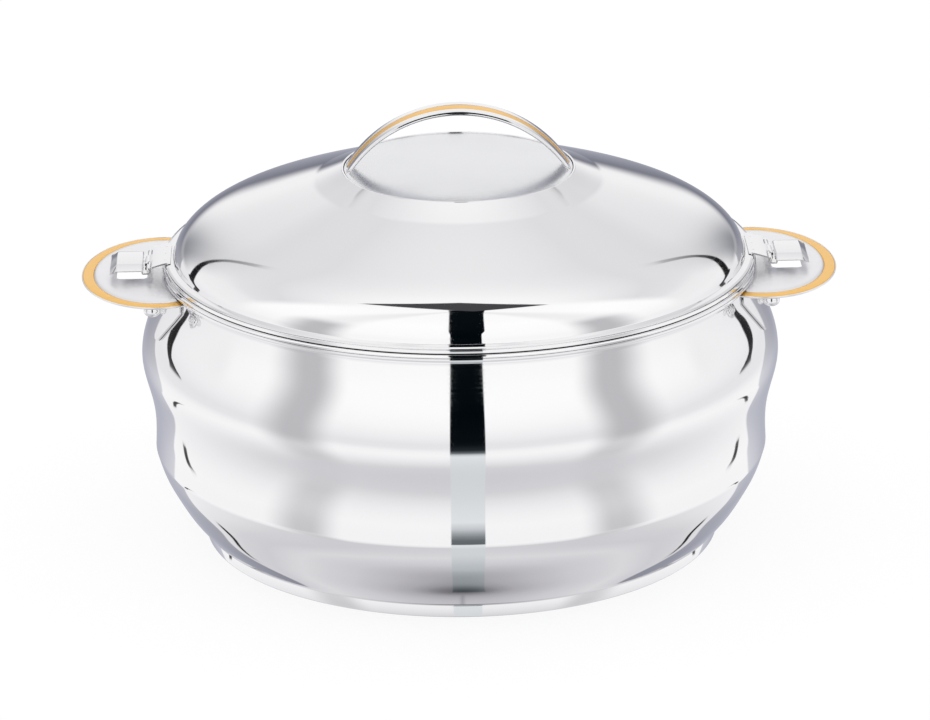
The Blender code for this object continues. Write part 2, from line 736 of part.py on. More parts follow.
def make_handle_trim(side, hand):
    """The gold-coloured band that lies in the handle plate's lowered border."""
    floor = HANDLE_TOP - BORDER_DEPTH + SEAT_GAP
    outer_floor = floor - BORDER_FALL
    inner = BORDER_WIDTH - BORDER_STEP_RUN - SEAT_GAP
    outer = LIP_WIDTH + LIP_ROUND + SEAT_GAP
    section = [
        (inner, floor), (inner, floor + TRIM_THICKNESS),
        (outer, outer_floor + TRIM_THICKNESS), (outer, outer_floor),
    ]
    loops = [
        ellipse_loop(HANDLE_CENTRE, HANDLE_REACH - inset, HANDLE_HALF_WIDTH - inset, height)
        for inset, height in section
    ]
    bm = loft(loops + loops[:1], capped=False)
    bmesh.ops.remove_doubles(bm, verts=bm.verts, dist=MERGE_DISTANCE)
    trim = add_piece(f"{hand}_handle_trim", to_side(bm, side), GOLD)
    seat = shell_radius(HANDLE_TOP - BORDER_DEPTH - BORDER_FALL - HANDLE_SHEET) + HANDLE_NECK_GAP
    combine(trim, neck_cutter(f"{hand}_trim_neck", seat + SEAT_GAP, side), "DIFFERENCE")
    return trim


def tongue(end):
    """A tongue that lies on the shell's shoulder. end is -1 for the front one, 1 for the back."""
    top = HANDLE_TOP - HANDLE_SHEET - SEAT_GAP
    loops = []
    for row in range(TONGUE_ROWS + 1):
        share = row / TONGUE_ROWS
        height = top - TONGUE_DROP * share
        radius = shell_radius(height) + SEAT_GAP
        angle = TONGUE_TOP_ANGLE + (TONGUE_END_ANGLE - TONGUE_TOP_ANGLE) * share
        neck = min(1.0, share / TONGUE_NECK_SHARE)
        width = TONGUE_TOP_WIDTH + (TONGUE_WIDTH - TONGUE_TOP_WIDTH) * neck
        drop_left = TONGUE_DROP * (1 - share)
        tip = TONGUE_WIDTH / 2
        if drop_left < tip:
            width = 2 * math.sqrt(tip ** 2 - (tip - drop_left) ** 2) + TONGUE_TIP_WIDTH
        half = width / 2 / radius
        angles = [angle + half * (2 * step / TONGUE_COLUMNS - 1) for step in range(TONGUE_COLUMNS + 1)]
        inner = [(radius * math.cos(a), end * radius * math.sin(a), height) for a in angles]
        outside = radius + BRACKET_SHEET
        outer = [(outside * math.cos(a), end * outside * math.sin(a), height) for a in angles]
        loops.append(inner + outer[::-1])
    return loft(loops)


def gusset(end):
    """A web under the handle plate's edge that runs in along the tongue it is folded from."""
    top = handle_border()[1][1][1] - SEAT_GAP
    low = top - GUSSET_DROP - BRACKET_SHEET
    reach = HANDLE_REACH - GUSSET_INSET
    half_width = HANDLE_HALF_WIDTH - GUSSET_INSET
    path = []
    for step in range(GUSSET_STEPS + 1):
        angle = GUSSET_START_ANGLE + (GUSSET_END_ANGLE - GUSSET_START_ANGLE) * step / GUSSET_STEPS
        path.append((HANDLE_CENTRE + reach * math.cos(angle), half_width * math.sin(angle)))
    weld = shell_radius(low) + SEAT_GAP + BRACKET_SHEET / 2
    last = math.atan2(path[-1][1], path[-1][0])
    for turn in (GUSSET_WELD_ANGLE / 2, GUSSET_WELD_ANGLE):
        path.append((weld * math.cos(last - turn), weld * math.sin(last - turn)))
    outer = offset(path, -BRACKET_SHEET / 2)
    inner = offset(path, BRACKET_SHEET / 2)
    loops = []
    for step, (outside, inside) in enumerate(zip(outer, inner)):
        share = min(1.0, step / GUSSET_STEPS)
        drop = GUSSET_DROP * math.sin(GUSSET_ROUND * share) + BRACKET_SHEET
        loops.append([
            (x, end * y, height)
            for (x, y), height in (
                (outside, top), (inside, top), (inside, top - drop), (outside, top - drop))
        ])
    return loft(loops)


def shell_clearance(name):
    """The upper half of the shell, swollen by the seating gap."""
    outline = [point for point in offset(shell_outline(), -SEAT_GAP) if point[1] > BELLY_BASE]
    outline = [(0, outline[0][1])] + outline + [(0, outline[-1][1])]
    return add_helper(name, revolve(outline, TURN_STEPS, closed=False))


def border_clearance(name, side):
    """The room that the plate's lowered border takes, swollen by the seating gap."""
    inner = BORDER_WIDTH + HANDLE_SHEET + SEAT_GAP
    low = handle_border()[1][1][1] - SEAT_GAP
    section = [
        (inner, low), (inner, LID_BASE), (-CUT_OVERRUN, LID_BASE), (-CUT_OVERRUN, low),
    ]
    loops = [
        ellipse_loop(HANDLE_CENTRE, HANDLE_REACH - inset, HANDLE_HALF_WIDTH - inset, height)
        for inset, height in section
    ]
    bm = loft(loops + loops[:1], capped=False)
    bmesh.ops.remove_doubles(bm, verts=bm.verts, dist=MERGE_DISTANCE)
    return add_helper(name, to_side(bm, side))


def make_handle_bracket(side, hand):
    """A bent sheet under the handle plate whose two tongues are welded to the shoulder."""
    top = HANDLE_TOP - HANDLE_SHEET - SEAT_GAP
    outline = [
        (x, y) for x, y, _ in ellipse_loop(
            HANDLE_CENTRE, HANDLE_REACH - BRACKET_INSET, HANDLE_HALF_WIDTH - BRACKET_INSET, 0)
    ]
    bm = to_side(extrude_up(outline, top - BRACKET_SHEET, top), side)
    bracket = add_piece(f"{hand}_handle_bracket", bm, STEEL)
    seat = shell_radius(top - BRACKET_SHEET) + 2 * SEAT_GAP
    combine(bracket, neck_cutter(f"{hand}_bracket_neck", seat, side), "DIFFERENCE")
    edge = slot_edges()[0] - BRACKET_SLOT_GAP
    beyond = HANDLE_CENTRE + HANDLE_REACH + CUT_OVERRUN
    cutter = box(
        (edge, -HANDLE_HALF_WIDTH, top - CUT_OVERRUN), (beyond, HANDLE_HALF_WIDTH, top + CUT_OVERRUN)
    )
    combine(bracket, add_helper(f"{hand}_bracket_trim_line", to_side(cutter, side)), "DIFFERENCE")
    for end, where in ((-1, "front"), (1, "back")):
        leg = add_helper(f"{hand}_{where}_tongue", to_side(tongue(end), side))
        combine(bracket, leg, "UNION")
        web = add_helper(f"{hand}_{where}_gusset", to_side(gusset(end), side))
        combine(bracket, web, "UNION")
    combine(bracket, shell_clearance(f"{hand}_bracket_seat"), "DIFFERENCE")
    combine(bracket, border_clearance(f"{hand}_bracket_border", side), "DIFFERENCE")
    return bracket


def make_latch_leaf(side, hand, parent):
    """The fixed leaf: welded to the lid's ledge inside, curled round the hinge pin outside."""
    centre = Vector((HINGE_X, HINGE_Z))
    lift = SEAT_GAP + LATCH_SHEET / 2
    start = Vector((DOME_RADIUS + LEAF_INSET, FLANGE_BASE + LEDGE_EDGE_RISE + lift))
    over_edge = Vector((LEDGE_END_RADIUS + LATCH_SHEET, FLANGE_BASE + LEDGE_RISE + lift))
    back = over_edge - centre
    tangent = math.atan2(back.y, back.x) + math.acos(CURL_RADIUS / back.length)
    curl = arc(centre, CURL_RADIUS, tangent, LEAF_CURL_END + math.tau, CURL_STEPS)
    outline = ribbon([tuple(start), tuple(over_edge)] + curl, LATCH_SHEET)
    leaf = add_piece(f"{hand}_latch_leaf", to_side(extrude_along_y(outline, LEAF_WIDTH), side),
                     STEEL, parent)
    edge = HINGE_X - KNUCKLE_RADIUS - SEAT_GAP
    beyond = HINGE_X + CUT_OVERRUN
    for end, where in ((-1, "front"), (1, "back")):
        near, far = sorted((end * LEAF_KNUCKLE_WIDTH / 2, end * (LEAF_WIDTH / 2 + CUT_OVERRUN)))
        cutter = box((edge, near, HINGE_Z - CUT_OVERRUN), (beyond, far, HINGE_Z + CUT_OVERRUN))
        helper = add_helper(f"{hand}_{where}_leaf_notch", to_side(cutter, side))
        combine(leaf, helper, "DIFFERENCE")
    return leaf


def make_hinge_pin(side, hand, parent):
    half = LATCH_WIDTH / 2 + PIN_END
    ring = arc((HINGE_X, HINGE_Z), PIN_RADIUS, 0, math.tau, PIN_STEPS)[:-1]
    loops = [[(x, y, z) for x, z in ring] for y in (-half, half)]
    return add_piece(f"{hand}_hinge_pin", to_side(loft(loops), side), STEEL, parent)


def hump_start():
    return HINGE_X + KNUCKLE_RADIUS + HUMP_WALL_GAP + LATCH_SHEET / 2


def make_latch_lever(side, hand, parent):
    """The moving lever: curled round the pin, raised into a hump and sloped down to a thumb lip."""
    centre = (HINGE_X, HINGE_Z)
    curl = arc(centre, CURL_RADIUS, LEVER_CURL_START, LEVER_CURL_END, CURL_STEPS)
    wall = hump_start()
    low = HINGE_Z - CURL_RADIUS
    high = HINGE_Z + HUMP_HEIGHT - LATCH_SHEET / 2
    hump_end = wall + HUMP_CORNER + HUMP_LENGTH
    slope_end = (hump_end + LEVER_SLOPE_RUN, high - LEVER_SLOPE_FALL)
    path = curl + [
        (wall, low), (wall + HUMP_CORNER / 2, high - HUMP_CORNER), (wall + HUMP_CORNER, high),
        (hump_end, high), slope_end,
        (slope_end[0] + LEVER_LIP, slope_end[1] - LEVER_LIP_FALL),
    ]
    bm = to_side(extrude_along_y(ribbon(path, LATCH_SHEET), LATCH_WIDTH), side)
    lever = add_piece(f"{hand}_latch_lever", bm, STEEL, parent)
    half = LEAF_KNUCKLE_WIDTH / 2 + SEAT_GAP
    near = HINGE_X - CUT_OVERRUN
    far = HINGE_X + KNUCKLE_RADIUS + SEAT_GAP
    cutter = box((near, -half, HINGE_Z - CUT_OVERRUN), (far, half, HINGE_Z + CUT_OVERRUN))
    helper = add_helper(f"{hand}_lever_notch", to_side(cutter, side))
    combine(lever, helper, "DIFFERENCE")
    return lever


def make_catch_spring(side, hand, parent):
    """The bowed strip under the lever's hump."""
    start = hump_start() + LATCH_SHEET / 2 + SPRING_START_GAP
    high = HINGE_Z + HUMP_HEIGHT - LATCH_SHEET - SEAT_GAP - SPRING_SHEET / 2
    path = [
        (start + SPRING_LENGTH * along, high - SPRING_DIP * dip)
        for along, dip in SPRING_BOW_SHARES
    ]
    bm = to_side(extrude_along_y(ribbon(path, SPRING_SHEET), SPRING_WIDTH), side)
    return add_piece(f"{hand}_catch_spring", bm, STEEL, parent)


def make_body():
    make_foot_ring()
    make_base_plate()
    make_outer_shell()
    make_inner_bowl()
    make_body_insulation()
    make_rim_band()
    for side, hand in ((-1, "left"), (1, "right")):
        make_handle_plate(side, hand)
        make_handle_trim(side, hand)
        make_handle_bracket(side, hand)


def make_lid():
    lid = add_empty("lid_lift", (0, 0, LID_BASE))
    make_lid_dome(lid)
    make_lid_liner(lid)
    make_lid_insulation(lid)
    make_lid_handle(lid)
    make_lid_handle_inlay(lid)
    make_top_disc(lid)
    for side, hand in ((-1, "left"), (1, "right")):
        make_latch_leaf(side, hand, lid)
        make_hinge_pin(side, hand, lid)
        hinge = add_empty(f"{hand}_latch_hinge", (side * HINGE_X, 0, HINGE_Z - LID_BASE), lid)
        make_latch_lever(side, hand, hinge)
        make_catch_spring(side, hand, hinge)


clear_scene()
make_body()
make_lid()
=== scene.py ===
"""Looks of the insulated chapati casserole: mirror-polished steel with gold-coloured trim,
on a plain white studio floor. Lengths are in millimetres until they become vertices.
"""

import math

import bmesh
import bpy
import numpy as np
from mathutils import Matrix, Vector


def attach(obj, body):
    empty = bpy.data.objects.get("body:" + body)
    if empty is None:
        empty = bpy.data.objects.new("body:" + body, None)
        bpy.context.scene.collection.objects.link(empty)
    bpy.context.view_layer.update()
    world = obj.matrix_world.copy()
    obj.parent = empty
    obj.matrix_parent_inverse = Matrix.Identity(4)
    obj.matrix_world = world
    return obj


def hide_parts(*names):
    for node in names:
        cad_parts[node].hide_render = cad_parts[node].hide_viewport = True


MM = 0.001
ROUND_STEPS = 180
OVAL_STEPS = 128
ARCH_STEPS = 72
WELD_DISTANCE = 0.0004 * MM
CUT_REACH = 40.0

# Outer shell, lid and rim, as (radius, height)
TAPER = ((124.3, 6.9), (131.9, 16.0), (137.4, 25.0), (142.0, 34.0), (145.16, 43.8))
BELLY = (
    (145.16, 43.8), (144.81, 55.0), (145.69, 66.0), (148.13, 77.0), (150.45, 88.0),
    (149.17, 99.0), (144.78, 110.0), (139.78, 120.0), (136.3, 128.0),
)
BOSS = ((54.9, 177.6), (61.0, 174.75), (68.0, 171.6))
DOME = (
    (68.0, 171.6), (80.0, 167.5), (92.0, 163.3), (104.0, 159.0), (114.0, 155.2), (122.0, 151.4),
    (128.0, 147.2), (132.6, 141.8), (134.6, 137.4),
)
SHELL_WALL = 1.0
LID_WALL = 0.9
WALL_THINNING = 4  # the wall's hidden side needs only one point in so many
NECK_RADIUS = 136.3
SHELL_TOP = 131.4

# Arched lid handle
ARCH_RADIUS = 61.89
ARCH_CENTRE = 144.91
ARCH_FOOT = 177.0
STRAP_FOOT_SHRINK = 0.045
INLAY_FOOT = 178.7

# Side handles and their brackets. The tongue's angles are in degrees.
HANDLE_CENTRE = 141.0
HANDLE_REACH = 36.8
HANDLE_HALF_WIDTH = 52.0
HANDLE_TOP = 129.0
PLATE_SEAT = 137.4
BORDER_INSET = 5.9
BORDER_LIFT = 0.45
TONGUE_TOP = 127.0
TONGUE_LENGTH = 24.0
TONGUE_HALF = 6.0
TONGUE_START = 18.4
TONGUE_SLANT = 37.5
TONGUE_SHEET = 0.9
SHOULDER_RADIUS = 145.0
LOBE_ALONG = 48.2
LOBE_HEIGHT = 125.3
LOBES = ((143.4, (3.9, 2.6, 2.9)), (138.4, (1.6, 1.9, 1.9)))
SLOT_INNER = 146.65
SLOT_OUTER = 161.15
SLOT_HALF = 12.5
SLOT_CORNER = 2.5
SLOT_DEPTH = 9

# Latches and their hinges
HINGE_X = 146.2
HINGE_Z = 133.2
PIN_RADIUS = 0.8
CURL_RADIUS = 1.3
LATCH_SHEET = 0.7
LEVER_HALF = 14.3
LEVER_SLOPE = 4.8
LEVER_DROP = 2.0
LEVER_FLAT = 131.6
LEVER_RISE = 3.7
LEVER_HUMP_START = 148.2
LEAF_HALF = 15.0
LEAF_KNUCKLE_HALF = 4.7
WELD_RADIUS = 0.75
WELD_X = 138.1
WELD_HEIGHT = 137.75
WELD_PLACES = (-10.0, 0.0, 10.0)
KNUCKLE_REACH = 1.95
SPRING_SHEET = 0.4
SPRING_HALF = 9.0
SPRING_START = 149.3
SPRING_TOP = 134.1
SPRING_LENGTH = 9.6
SPRING_DIP = 2.1

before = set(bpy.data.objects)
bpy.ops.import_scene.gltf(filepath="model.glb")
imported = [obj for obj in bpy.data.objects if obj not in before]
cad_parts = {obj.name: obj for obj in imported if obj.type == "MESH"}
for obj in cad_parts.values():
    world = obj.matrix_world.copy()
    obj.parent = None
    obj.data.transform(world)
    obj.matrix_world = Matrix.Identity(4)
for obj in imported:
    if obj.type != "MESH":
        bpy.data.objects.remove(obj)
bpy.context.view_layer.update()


# ---------------------------------------------------------------- outlines

def flowing(points, spacing=1.2):
    """A curve through the points whose bend never jumps, as a close row of points."""
    knots = np.array(points, float)
    along = np.concatenate(([0.0], np.cumsum(np.hypot(*np.diff(knots, axis=0).T))))
    gaps = np.diff(along)
    matrix = np.eye(len(knots))
    pull = np.zeros((len(knots), 2))
    for k in range(1, len(knots) - 1):
        matrix[k, k - 1:k + 2] = gaps[k - 1], 2 * (gaps[k - 1] + gaps[k]), gaps[k]
        ahead, back = (knots[k + 1] - knots[k]) / gaps[k], (knots[k] - knots[k - 1]) / gaps[k - 1]
        pull[k] = 6 * (ahead - back)
    bend = np.linalg.solve(matrix, pull)
    curve = []
    for k, gap in enumerate(gaps):
        steps = max(1, round(gap / spacing))
        for step in range(steps):
            gone = gap * step / steps
            left = gap - gone
            curve.append(tuple(
                (bend[k] * left ** 3 + bend[k + 1] * gone ** 3) / (6 * gap)
                + (knots[k] / gap - bend[k] * gap / 6) * left
                + (knots[k + 1] / gap - bend[k + 1] * gap / 6) * gone
            ))
    return curve + [tuple(knots[-1])]


def eased(corners, steps=4, closed=True):
    """An outline with rounded corners. Each corner is (across, up) or (across, up, radius)."""
    line = []
    count = len(corners)
    for k, corner in enumerate(corners):
        here = Vector(corner[:2])
        ends = not closed and k in (0, count - 1)
        if len(corner) < 3 or ends:
            line.append(tuple(here))
            continue
        back = Vector(corners[k - 1][:2]) - here
        ahead = Vector(corners[(k + 1) % count][:2]) - here
        half_turn = back.angle(ahead) / 2
        cut = min(corner[2] / math.tan(half_turn), 0.49 * back.length, 0.49 * ahead.length)
        first, last = here + back.normalized() * cut, here + ahead.normalized() * cut
        for step in range(steps + 1):
            share = step / steps
            line.append(tuple(first.lerp(here, share).lerp(here.lerp(last, share), share)))
    return line


def beside(line, distance):
    """The open line moved sideways, to the left of its direction."""
    path = [Vector(point) for point in line]
    moved = []
    for k, point in enumerate(path):
        before = (point - path[max(k - 1, 0)]) if k else (path[1] - point)
        after = (path[k + 1] - point) if k < len(path) - 1 else before
        normal_1 = Vector((-before.y, before.x)).normalized()
        normal_2 = Vector((-after.y, after.x)).normalized()
        normal = (normal_1 + normal_2).normalized()
        moved.append(tuple(point + normal * (distance / max(normal.dot(normal_1), 0.3))))
    return moved


def bent_sheet(line, thickness):
    """The closed outline of a bent sheet seen from its edge."""
    return beside(line, thickness / 2) + beside(line, -thickness / 2)[::-1]


def curl(start, end, radius=CURL_RADIUS, steps=18):
    """Points round the hinge pin from one angle to another, in degrees."""
    angles = [math.radians(start + (end - start) * k / steps) for k in range(steps + 1)]
    return [(HINGE_X + radius * math.cos(a), HINGE_Z + radius * math.sin(a)) for a in angles]


# ---------------------------------------------------------------- shaping

def turned(outline, closed=True, steps=ROUND_STEPS):
    """A solid turned about the upright axis from a (radius, height) outline."""
    bm = bmesh.new()
    verts = [bm.verts.new((radius * MM, 0, height * MM)) for radius, height in outline]
    ends = verts[1:] + verts[:1] if closed else verts[1:]
    edges = [bm.edges.new(pair) for pair in zip(verts, ends)]
    bmesh.ops.spin(
        bm, geom=verts + edges, cent=(0, 0, 0), axis=(0, 0, 1), angle=math.tau, steps=steps,
        use_merge=True, use_normal_flip=False, use_duplicate=False,
    )
    return bm


def drawn_across(outline, half_width, side=1):
    """A flat (x, z) outline drawn out along Y, both ways from the middle."""
    bm = bmesh.new()
    verts = [bm.verts.new((side * x * MM, -half_width * MM, z * MM)) for x, z in outline]
    face = bm.faces.new(verts)
    drawn = bmesh.ops.extrude_face_region(bm, geom=[face])
    moved = [item for item in drawn["geom"] if isinstance(item, bmesh.types.BMVert)]
    bmesh.ops.translate(bm, vec=(0, 2 * half_width * MM, 0), verts=moved)
    return bm


def arched(section, foot, overshoot=4.0):
    """A (across, depth) section swept over the arch of the lid handle and cut flat at its feet."""
    bm = bmesh.new()
    verts = [
        bm.verts.new((0, across * MM, (ARCH_CENTRE + ARCH_RADIUS - depth) * MM))
        for across, depth in section
    ]
    edges = [bm.edges.new(pair) for pair in zip(verts, verts[1:] + verts[:1])]
    reach = math.acos((foot - ARCH_CENTRE) / ARCH_RADIUS) + math.radians(overshoot)
    centre = Vector((0, 0, ARCH_CENTRE * MM))
    bmesh.ops.rotate(bm, cent=centre, matrix=Matrix.Rotation(-reach, 3, "Y"), verts=verts)
    bmesh.ops.spin(
        bm, geom=verts + edges, cent=centre, axis=(0, 1, 0), angle=2 * reach, steps=ARCH_STEPS,
        use_merge=False, use_normal_flip=False, use_duplicate=False,
    )
    for vert in bm.verts:
        lean = math.atan2(vert.co.x, vert.co.z - centre.z) / reach
        vert.co.y *= 1 - STRAP_FOOT_SHRINK * lean ** 2
    bmesh.ops.bisect_plane(
        bm, geom=bm.verts[:] + bm.edges[:] + bm.faces[:], plane_co=(0, 0, foot * MM),
        plane_no=(0, 0, -1), clear_outer=True,
    )
    bmesh.ops.holes_fill(bm, edges=[edge for edge in bm.edges if edge.is_boundary], sides=0)
    return bm


def oval_stack(levels, side, ring=False):
    """A pressed oval, from (inset, height) levels. A ring joins its last level to its first."""
    bm = bmesh.new()
    centre = Vector((side * HANDLE_CENTRE * MM, 0, 0))
    made = bmesh.ops.create_circle(bm, cap_ends=False, segments=OVAL_STEPS, radius=MM)
    rim = made["verts"]
    inset, height = levels[0]
    size = (HANDLE_REACH - inset, HANDLE_HALF_WIDTH - inset)
    bmesh.ops.scale(bm, vec=(size[0], size[1], 1), verts=rim)
    bmesh.ops.translate(bm, vec=centre + Vector((0, 0, height * MM)), verts=rim)
    edges = bm.edges[:]
    first = edges
    for next_inset, next_height in levels[1:]:
        next_size = (HANDLE_REACH - next_inset, HANDLE_HALF_WIDTH - next_inset)
        grown = bmesh.ops.extrude_edge_only(bm, edges=edges)["geom"]
        rim = [item for item in grown if isinstance(item, bmesh.types.BMVert)]
        edges = [item for item in grown if isinstance(item, bmesh.types.BMEdge)]
        bmesh.ops.scale(
            bm, vec=(next_size[0] / size[0], next_size[1] / size[1], 1),
            space=Matrix.Translation(-centre), verts=rim,
        )
        bmesh.ops.translate(bm, vec=(0, 0, (next_height - height) * MM), verts=rim)
        size, height = next_size, next_height
    if ring:
        bmesh.ops.bridge_loops(bm, edges=first + edges)
    else:
        bmesh.ops.edgeloop_fill(bm, edges=first)
        bmesh.ops.edgeloop_fill(bm, edges=edges)
    return bm


def block(low, high, side=1):
    """A box between two corners, mirrored to the left with side -1."""
    bm = bmesh.new()
    cube = bmesh.ops.create_cube(bm, size=1.0)["verts"]
    size = [(b - a) * MM for a, b in zip(low, high)]
    middle = [(a + b) / 2 * MM for a, b in zip(low, high)]
    bmesh.ops.scale(bm, vec=size, verts=cube)
    bmesh.ops.translate(bm, vec=(side * middle[0], middle[1], middle[2]), verts=cube)
    return bm


def neck_cylinder(radius):
    """The space that the body's neck takes up at the height of the side handles."""
    bm = bmesh.new()
    bmesh.ops.create_cone(
        bm, cap_ends=True, segments=ROUND_STEPS, radius1=radius * MM, radius2=radius * MM,
        depth=2 * CUT_REACH * MM, matrix=Matrix.Translation((0, 0, HANDLE_TOP * MM)),
    )
    return bm


def slot_cutter(side):
    """The catch slot in a side handle's plate, with rounded corners."""
    bm = block(
        (SLOT_INNER, -SLOT_HALF, HANDLE_TOP - SLOT_DEPTH),
        (SLOT_OUTER, SLOT_HALF, HANDLE_TOP + SLOT_DEPTH), side)
    upright = [e for e in bm.edges if abs(e.verts[0].co.z - e.verts[1].co.z) > MM]
    bmesh.ops.bevel(
        bm, geom=upright, offset=SLOT_CORNER * MM, segments=8, profile=0.5, affect="EDGES",
        material=-1,
    )
    return bm


# ---------------------------------------------------------------- pieces

def mesh_object(name, bm):
    """Weld the shape, face it outwards and put it in the scene."""
    bmesh.ops.remove_doubles(bm, verts=bm.verts, dist=WELD_DISTANCE)
    bmesh.ops.recalc_face_normals(bm, faces=bm.faces)
    mesh = bpy.data.meshes.new(name)
    bm.to_mesh(mesh)
    bm.free()
    piece = bpy.data.objects.new(name, mesh)
    bpy.context.scene.collection.objects.link(piece)
    return piece


def cut_away(piece, cutters):
    """Take the cutters out of the piece and keep the result as its mesh."""
    helpers = [mesh_object(f"{piece.name}_cutter_{k}", bm) for k, bm in enumerate(cutters)]
    for helper in helpers:
        modifier = piece.modifiers.new("cut", "BOOLEAN")
        modifier.operation = "DIFFERENCE"
        modifier.solver = "EXACT"
        modifier.object = helper
    cut = bpy.data.meshes.new_from_object(
        piece.evaluated_get(bpy.context.evaluated_depsgraph_get()))
    piece.modifiers.clear()
    piece.data = cut
    cut.name = piece.name
    for helper in helpers:
        bpy.data.objects.remove(helper, do_unlink=True)


def soften(piece, width, segments=2, angle=40):
    """Break the sheet's sharp edges."""
    modifier = piece.modifiers.new("broken_edges", "BEVEL")
    modifier.width = width * MM
    modifier.segments = segments
    modifier.limit_method = "ANGLE"
    modifier.angle_limit = math.radians(angle)
    modifier.harden_normals = True


def dress(piece, body, node, material, crease=32):
    """Give the piece its shading, finish in a material slot and body, and hide the CAD node it
    replaces.
    """
    piece.data.shade_smooth()
    piece.data.set_sharp_from_angle(angle=math.radians(crease))
    piece.data.materials.clear()
    piece.data.materials.append(material)
    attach(piece, body)
    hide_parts(node)
    return piece


# ---------------------------------------------------------------- finishes

def link_in(tree, socket, value):
    """Link another node's output to the socket, or set the socket's own value."""
    if isinstance(value, bpy.types.NodeSocket):
        tree.links.new(value, socket)
    else:
        socket.default_value = value


def sums(tree, operation, *values):
    """One arithmetic step on values or sockets."""
    node = tree.nodes.new("ShaderNodeMath")
    node.operation = operation
    for socket, value in zip(node.inputs, values):
        link_in(tree, socket, value)
    return node.outputs[0]


def eased_step(tree, value, start, end, low=0.0, high=1.0):
    """Runs softly from low to high while the value goes from start to end."""
    node = tree.nodes.new("ShaderNodeMapRange")
    node.interpolation_type = "SMOOTHSTEP"
    link_in(tree, node.inputs["Value"], value)
    node.inputs["From Min"].default_value = start
    node.inputs["From Max"].default_value = end
    node.inputs["To Min"].default_value = low
    node.inputs["To Max"].default_value = high
    return node.outputs["Result"]


def blend_colours(tree, factor, first, second):
    """The first colour where the factor is 0, the second where it is 1."""
    node = tree.nodes.new("ShaderNodeMix")
    node.data_type = "RGBA"
    link_in(tree, node.inputs["Factor"], factor)
    link_in(tree, node.inputs[6], first)
    link_in(tree, node.inputs[7], second)
    return node.outputs[2]


def linear(level):
    """A level as seen on screen, from 0 to 1, turned into light."""
    return level / 12.92 if level <= 0.04045 else ((level + 0.055) / 1.055) ** 2.4


def grain(tree, place, scale, stretch, detail=3.0):
    """Noise that is drawn out by a stretch in x, y and z."""
    mapping = tree.nodes.new("ShaderNodeMapping")
    link_in(tree, mapping.inputs["Vector"], place)
    mapping.inputs["Scale"].default_value = stretch
    noise = tree.nodes.new("ShaderNodeTexNoise")
    noise.inputs["Scale"].default_value = scale
    noise.inputs["Detail"].default_value = detail
    tree.links.new(mapping.outputs["Vector"], noise.inputs["Vector"])
    return noise.outputs["Fac"]


def round_place(tree):
    """(radius, turn, height) of a point on a turned piece, for polish that runs round it."""
    coordinates = tree.nodes.new("ShaderNodeTexCoord").outputs["Object"]
    split = tree.nodes.new("ShaderNodeSeparateXYZ")
    tree.links.new(coordinates, split.inputs[0])
    x, y, z = split.outputs
    squares = sums(tree, "ADD", sums(tree, "MULTIPLY", x, x), sums(tree, "MULTIPLY", y, y))
    radius = sums(tree, "SQRT", squares)
    joined = tree.nodes.new("ShaderNodeCombineXYZ")
    tree.links.new(radius, joined.inputs[0])
    tree.links.new(sums(tree, "MULTIPLY", sums(tree, "ARCTAN2", y, x), 0.002), joined.inputs[1])
    tree.links.new(z, joined.inputs[2])
    return joined.outputs[0]


def metal(name, colour, roughness, spread, lines, depth, turned_piece, metallic=1.0, coat=0.0):
    """Polished or brushed metal whose fine lines run round a turned piece, or along X."""
    material = bpy.data.materials.new(name)
    material.use_nodes = True
    tree = material.node_tree
    shader = tree.nodes["Principled BSDF"]
    shader.inputs["Base Color"].default_value = (*colour, 1.0)
    shader.inputs["Metallic"].default_value = metallic
    if coat:
        shader.inputs["Coat Weight"].default_value = coat
        shader.inputs["Coat Roughness"].default_value = 0.12
    if turned_piece:
        place, stretch = round_place(tree), (1.0, 1.0, 1.0)
    else:
        place = tree.nodes.new("ShaderNodeTexCoord").outputs["Object"]
        stretch = (0.03, 1.0, 1.0)
    strokes = grain(tree, place, lines, stretch)
    coordinates = tree.nodes.new("ShaderNodeTexCoord").outputs["Object"]
    clouds = grain(tree, coordinates, 28.0, (1, 1, 1), 2.0)
    both = sums(tree, "MULTIPLY", strokes, clouds)
    wear = eased_step(tree, both, 0.12, 0.42, roughness - spread, roughness + spread)
    tree.links.new(wear, shader.inputs["Roughness"])
    bump = tree.nodes.new("ShaderNodeBump")
    bump.inputs["Strength"].default_value = depth
    bump.inputs["Distance"].default_value = 0.02 * MM
    tree.links.new(strokes, bump.inputs["Height"])
    tree.links.new(bump.outputs["Normal"], shader.inputs["Normal"])
    return material


def insulation_foam():
    """Pale rigid foam with fine cells."""
    material = bpy.data.materials.new("insulation_foam")
    material.use_nodes = True
    tree = material.node_tree
    shader = tree.nodes["Principled BSDF"]
    place = tree.nodes.new("ShaderNodeTexCoord").outputs["Object"]
    cells = tree.nodes.new("ShaderNodeTexVoronoi")
    cells.inputs["Scale"].default_value = 700.0
    tree.links.new(place, cells.inputs["Vector"])
    mottle = grain(tree, place, 60.0, (1, 1, 1))
    colour = blend_colours(tree, mottle, (0.86, 0.80, 0.60, 1), (0.93, 0.89, 0.74, 1))
    tree.links.new(colour, shader.inputs["Base Color"])
    shader.inputs["Roughness"].default_value = 0.9
    bump = tree.nodes.new("ShaderNodeBump")
    bump.inputs["Strength"].default_value = 0.4
    bump.inputs["Distance"].default_value = 0.3 * MM
    tree.links.new(cells.outputs["Distance"], bump.inputs["Height"])
    tree.links.new(bump.outputs["Normal"], shader.inputs["Normal"])
    return material


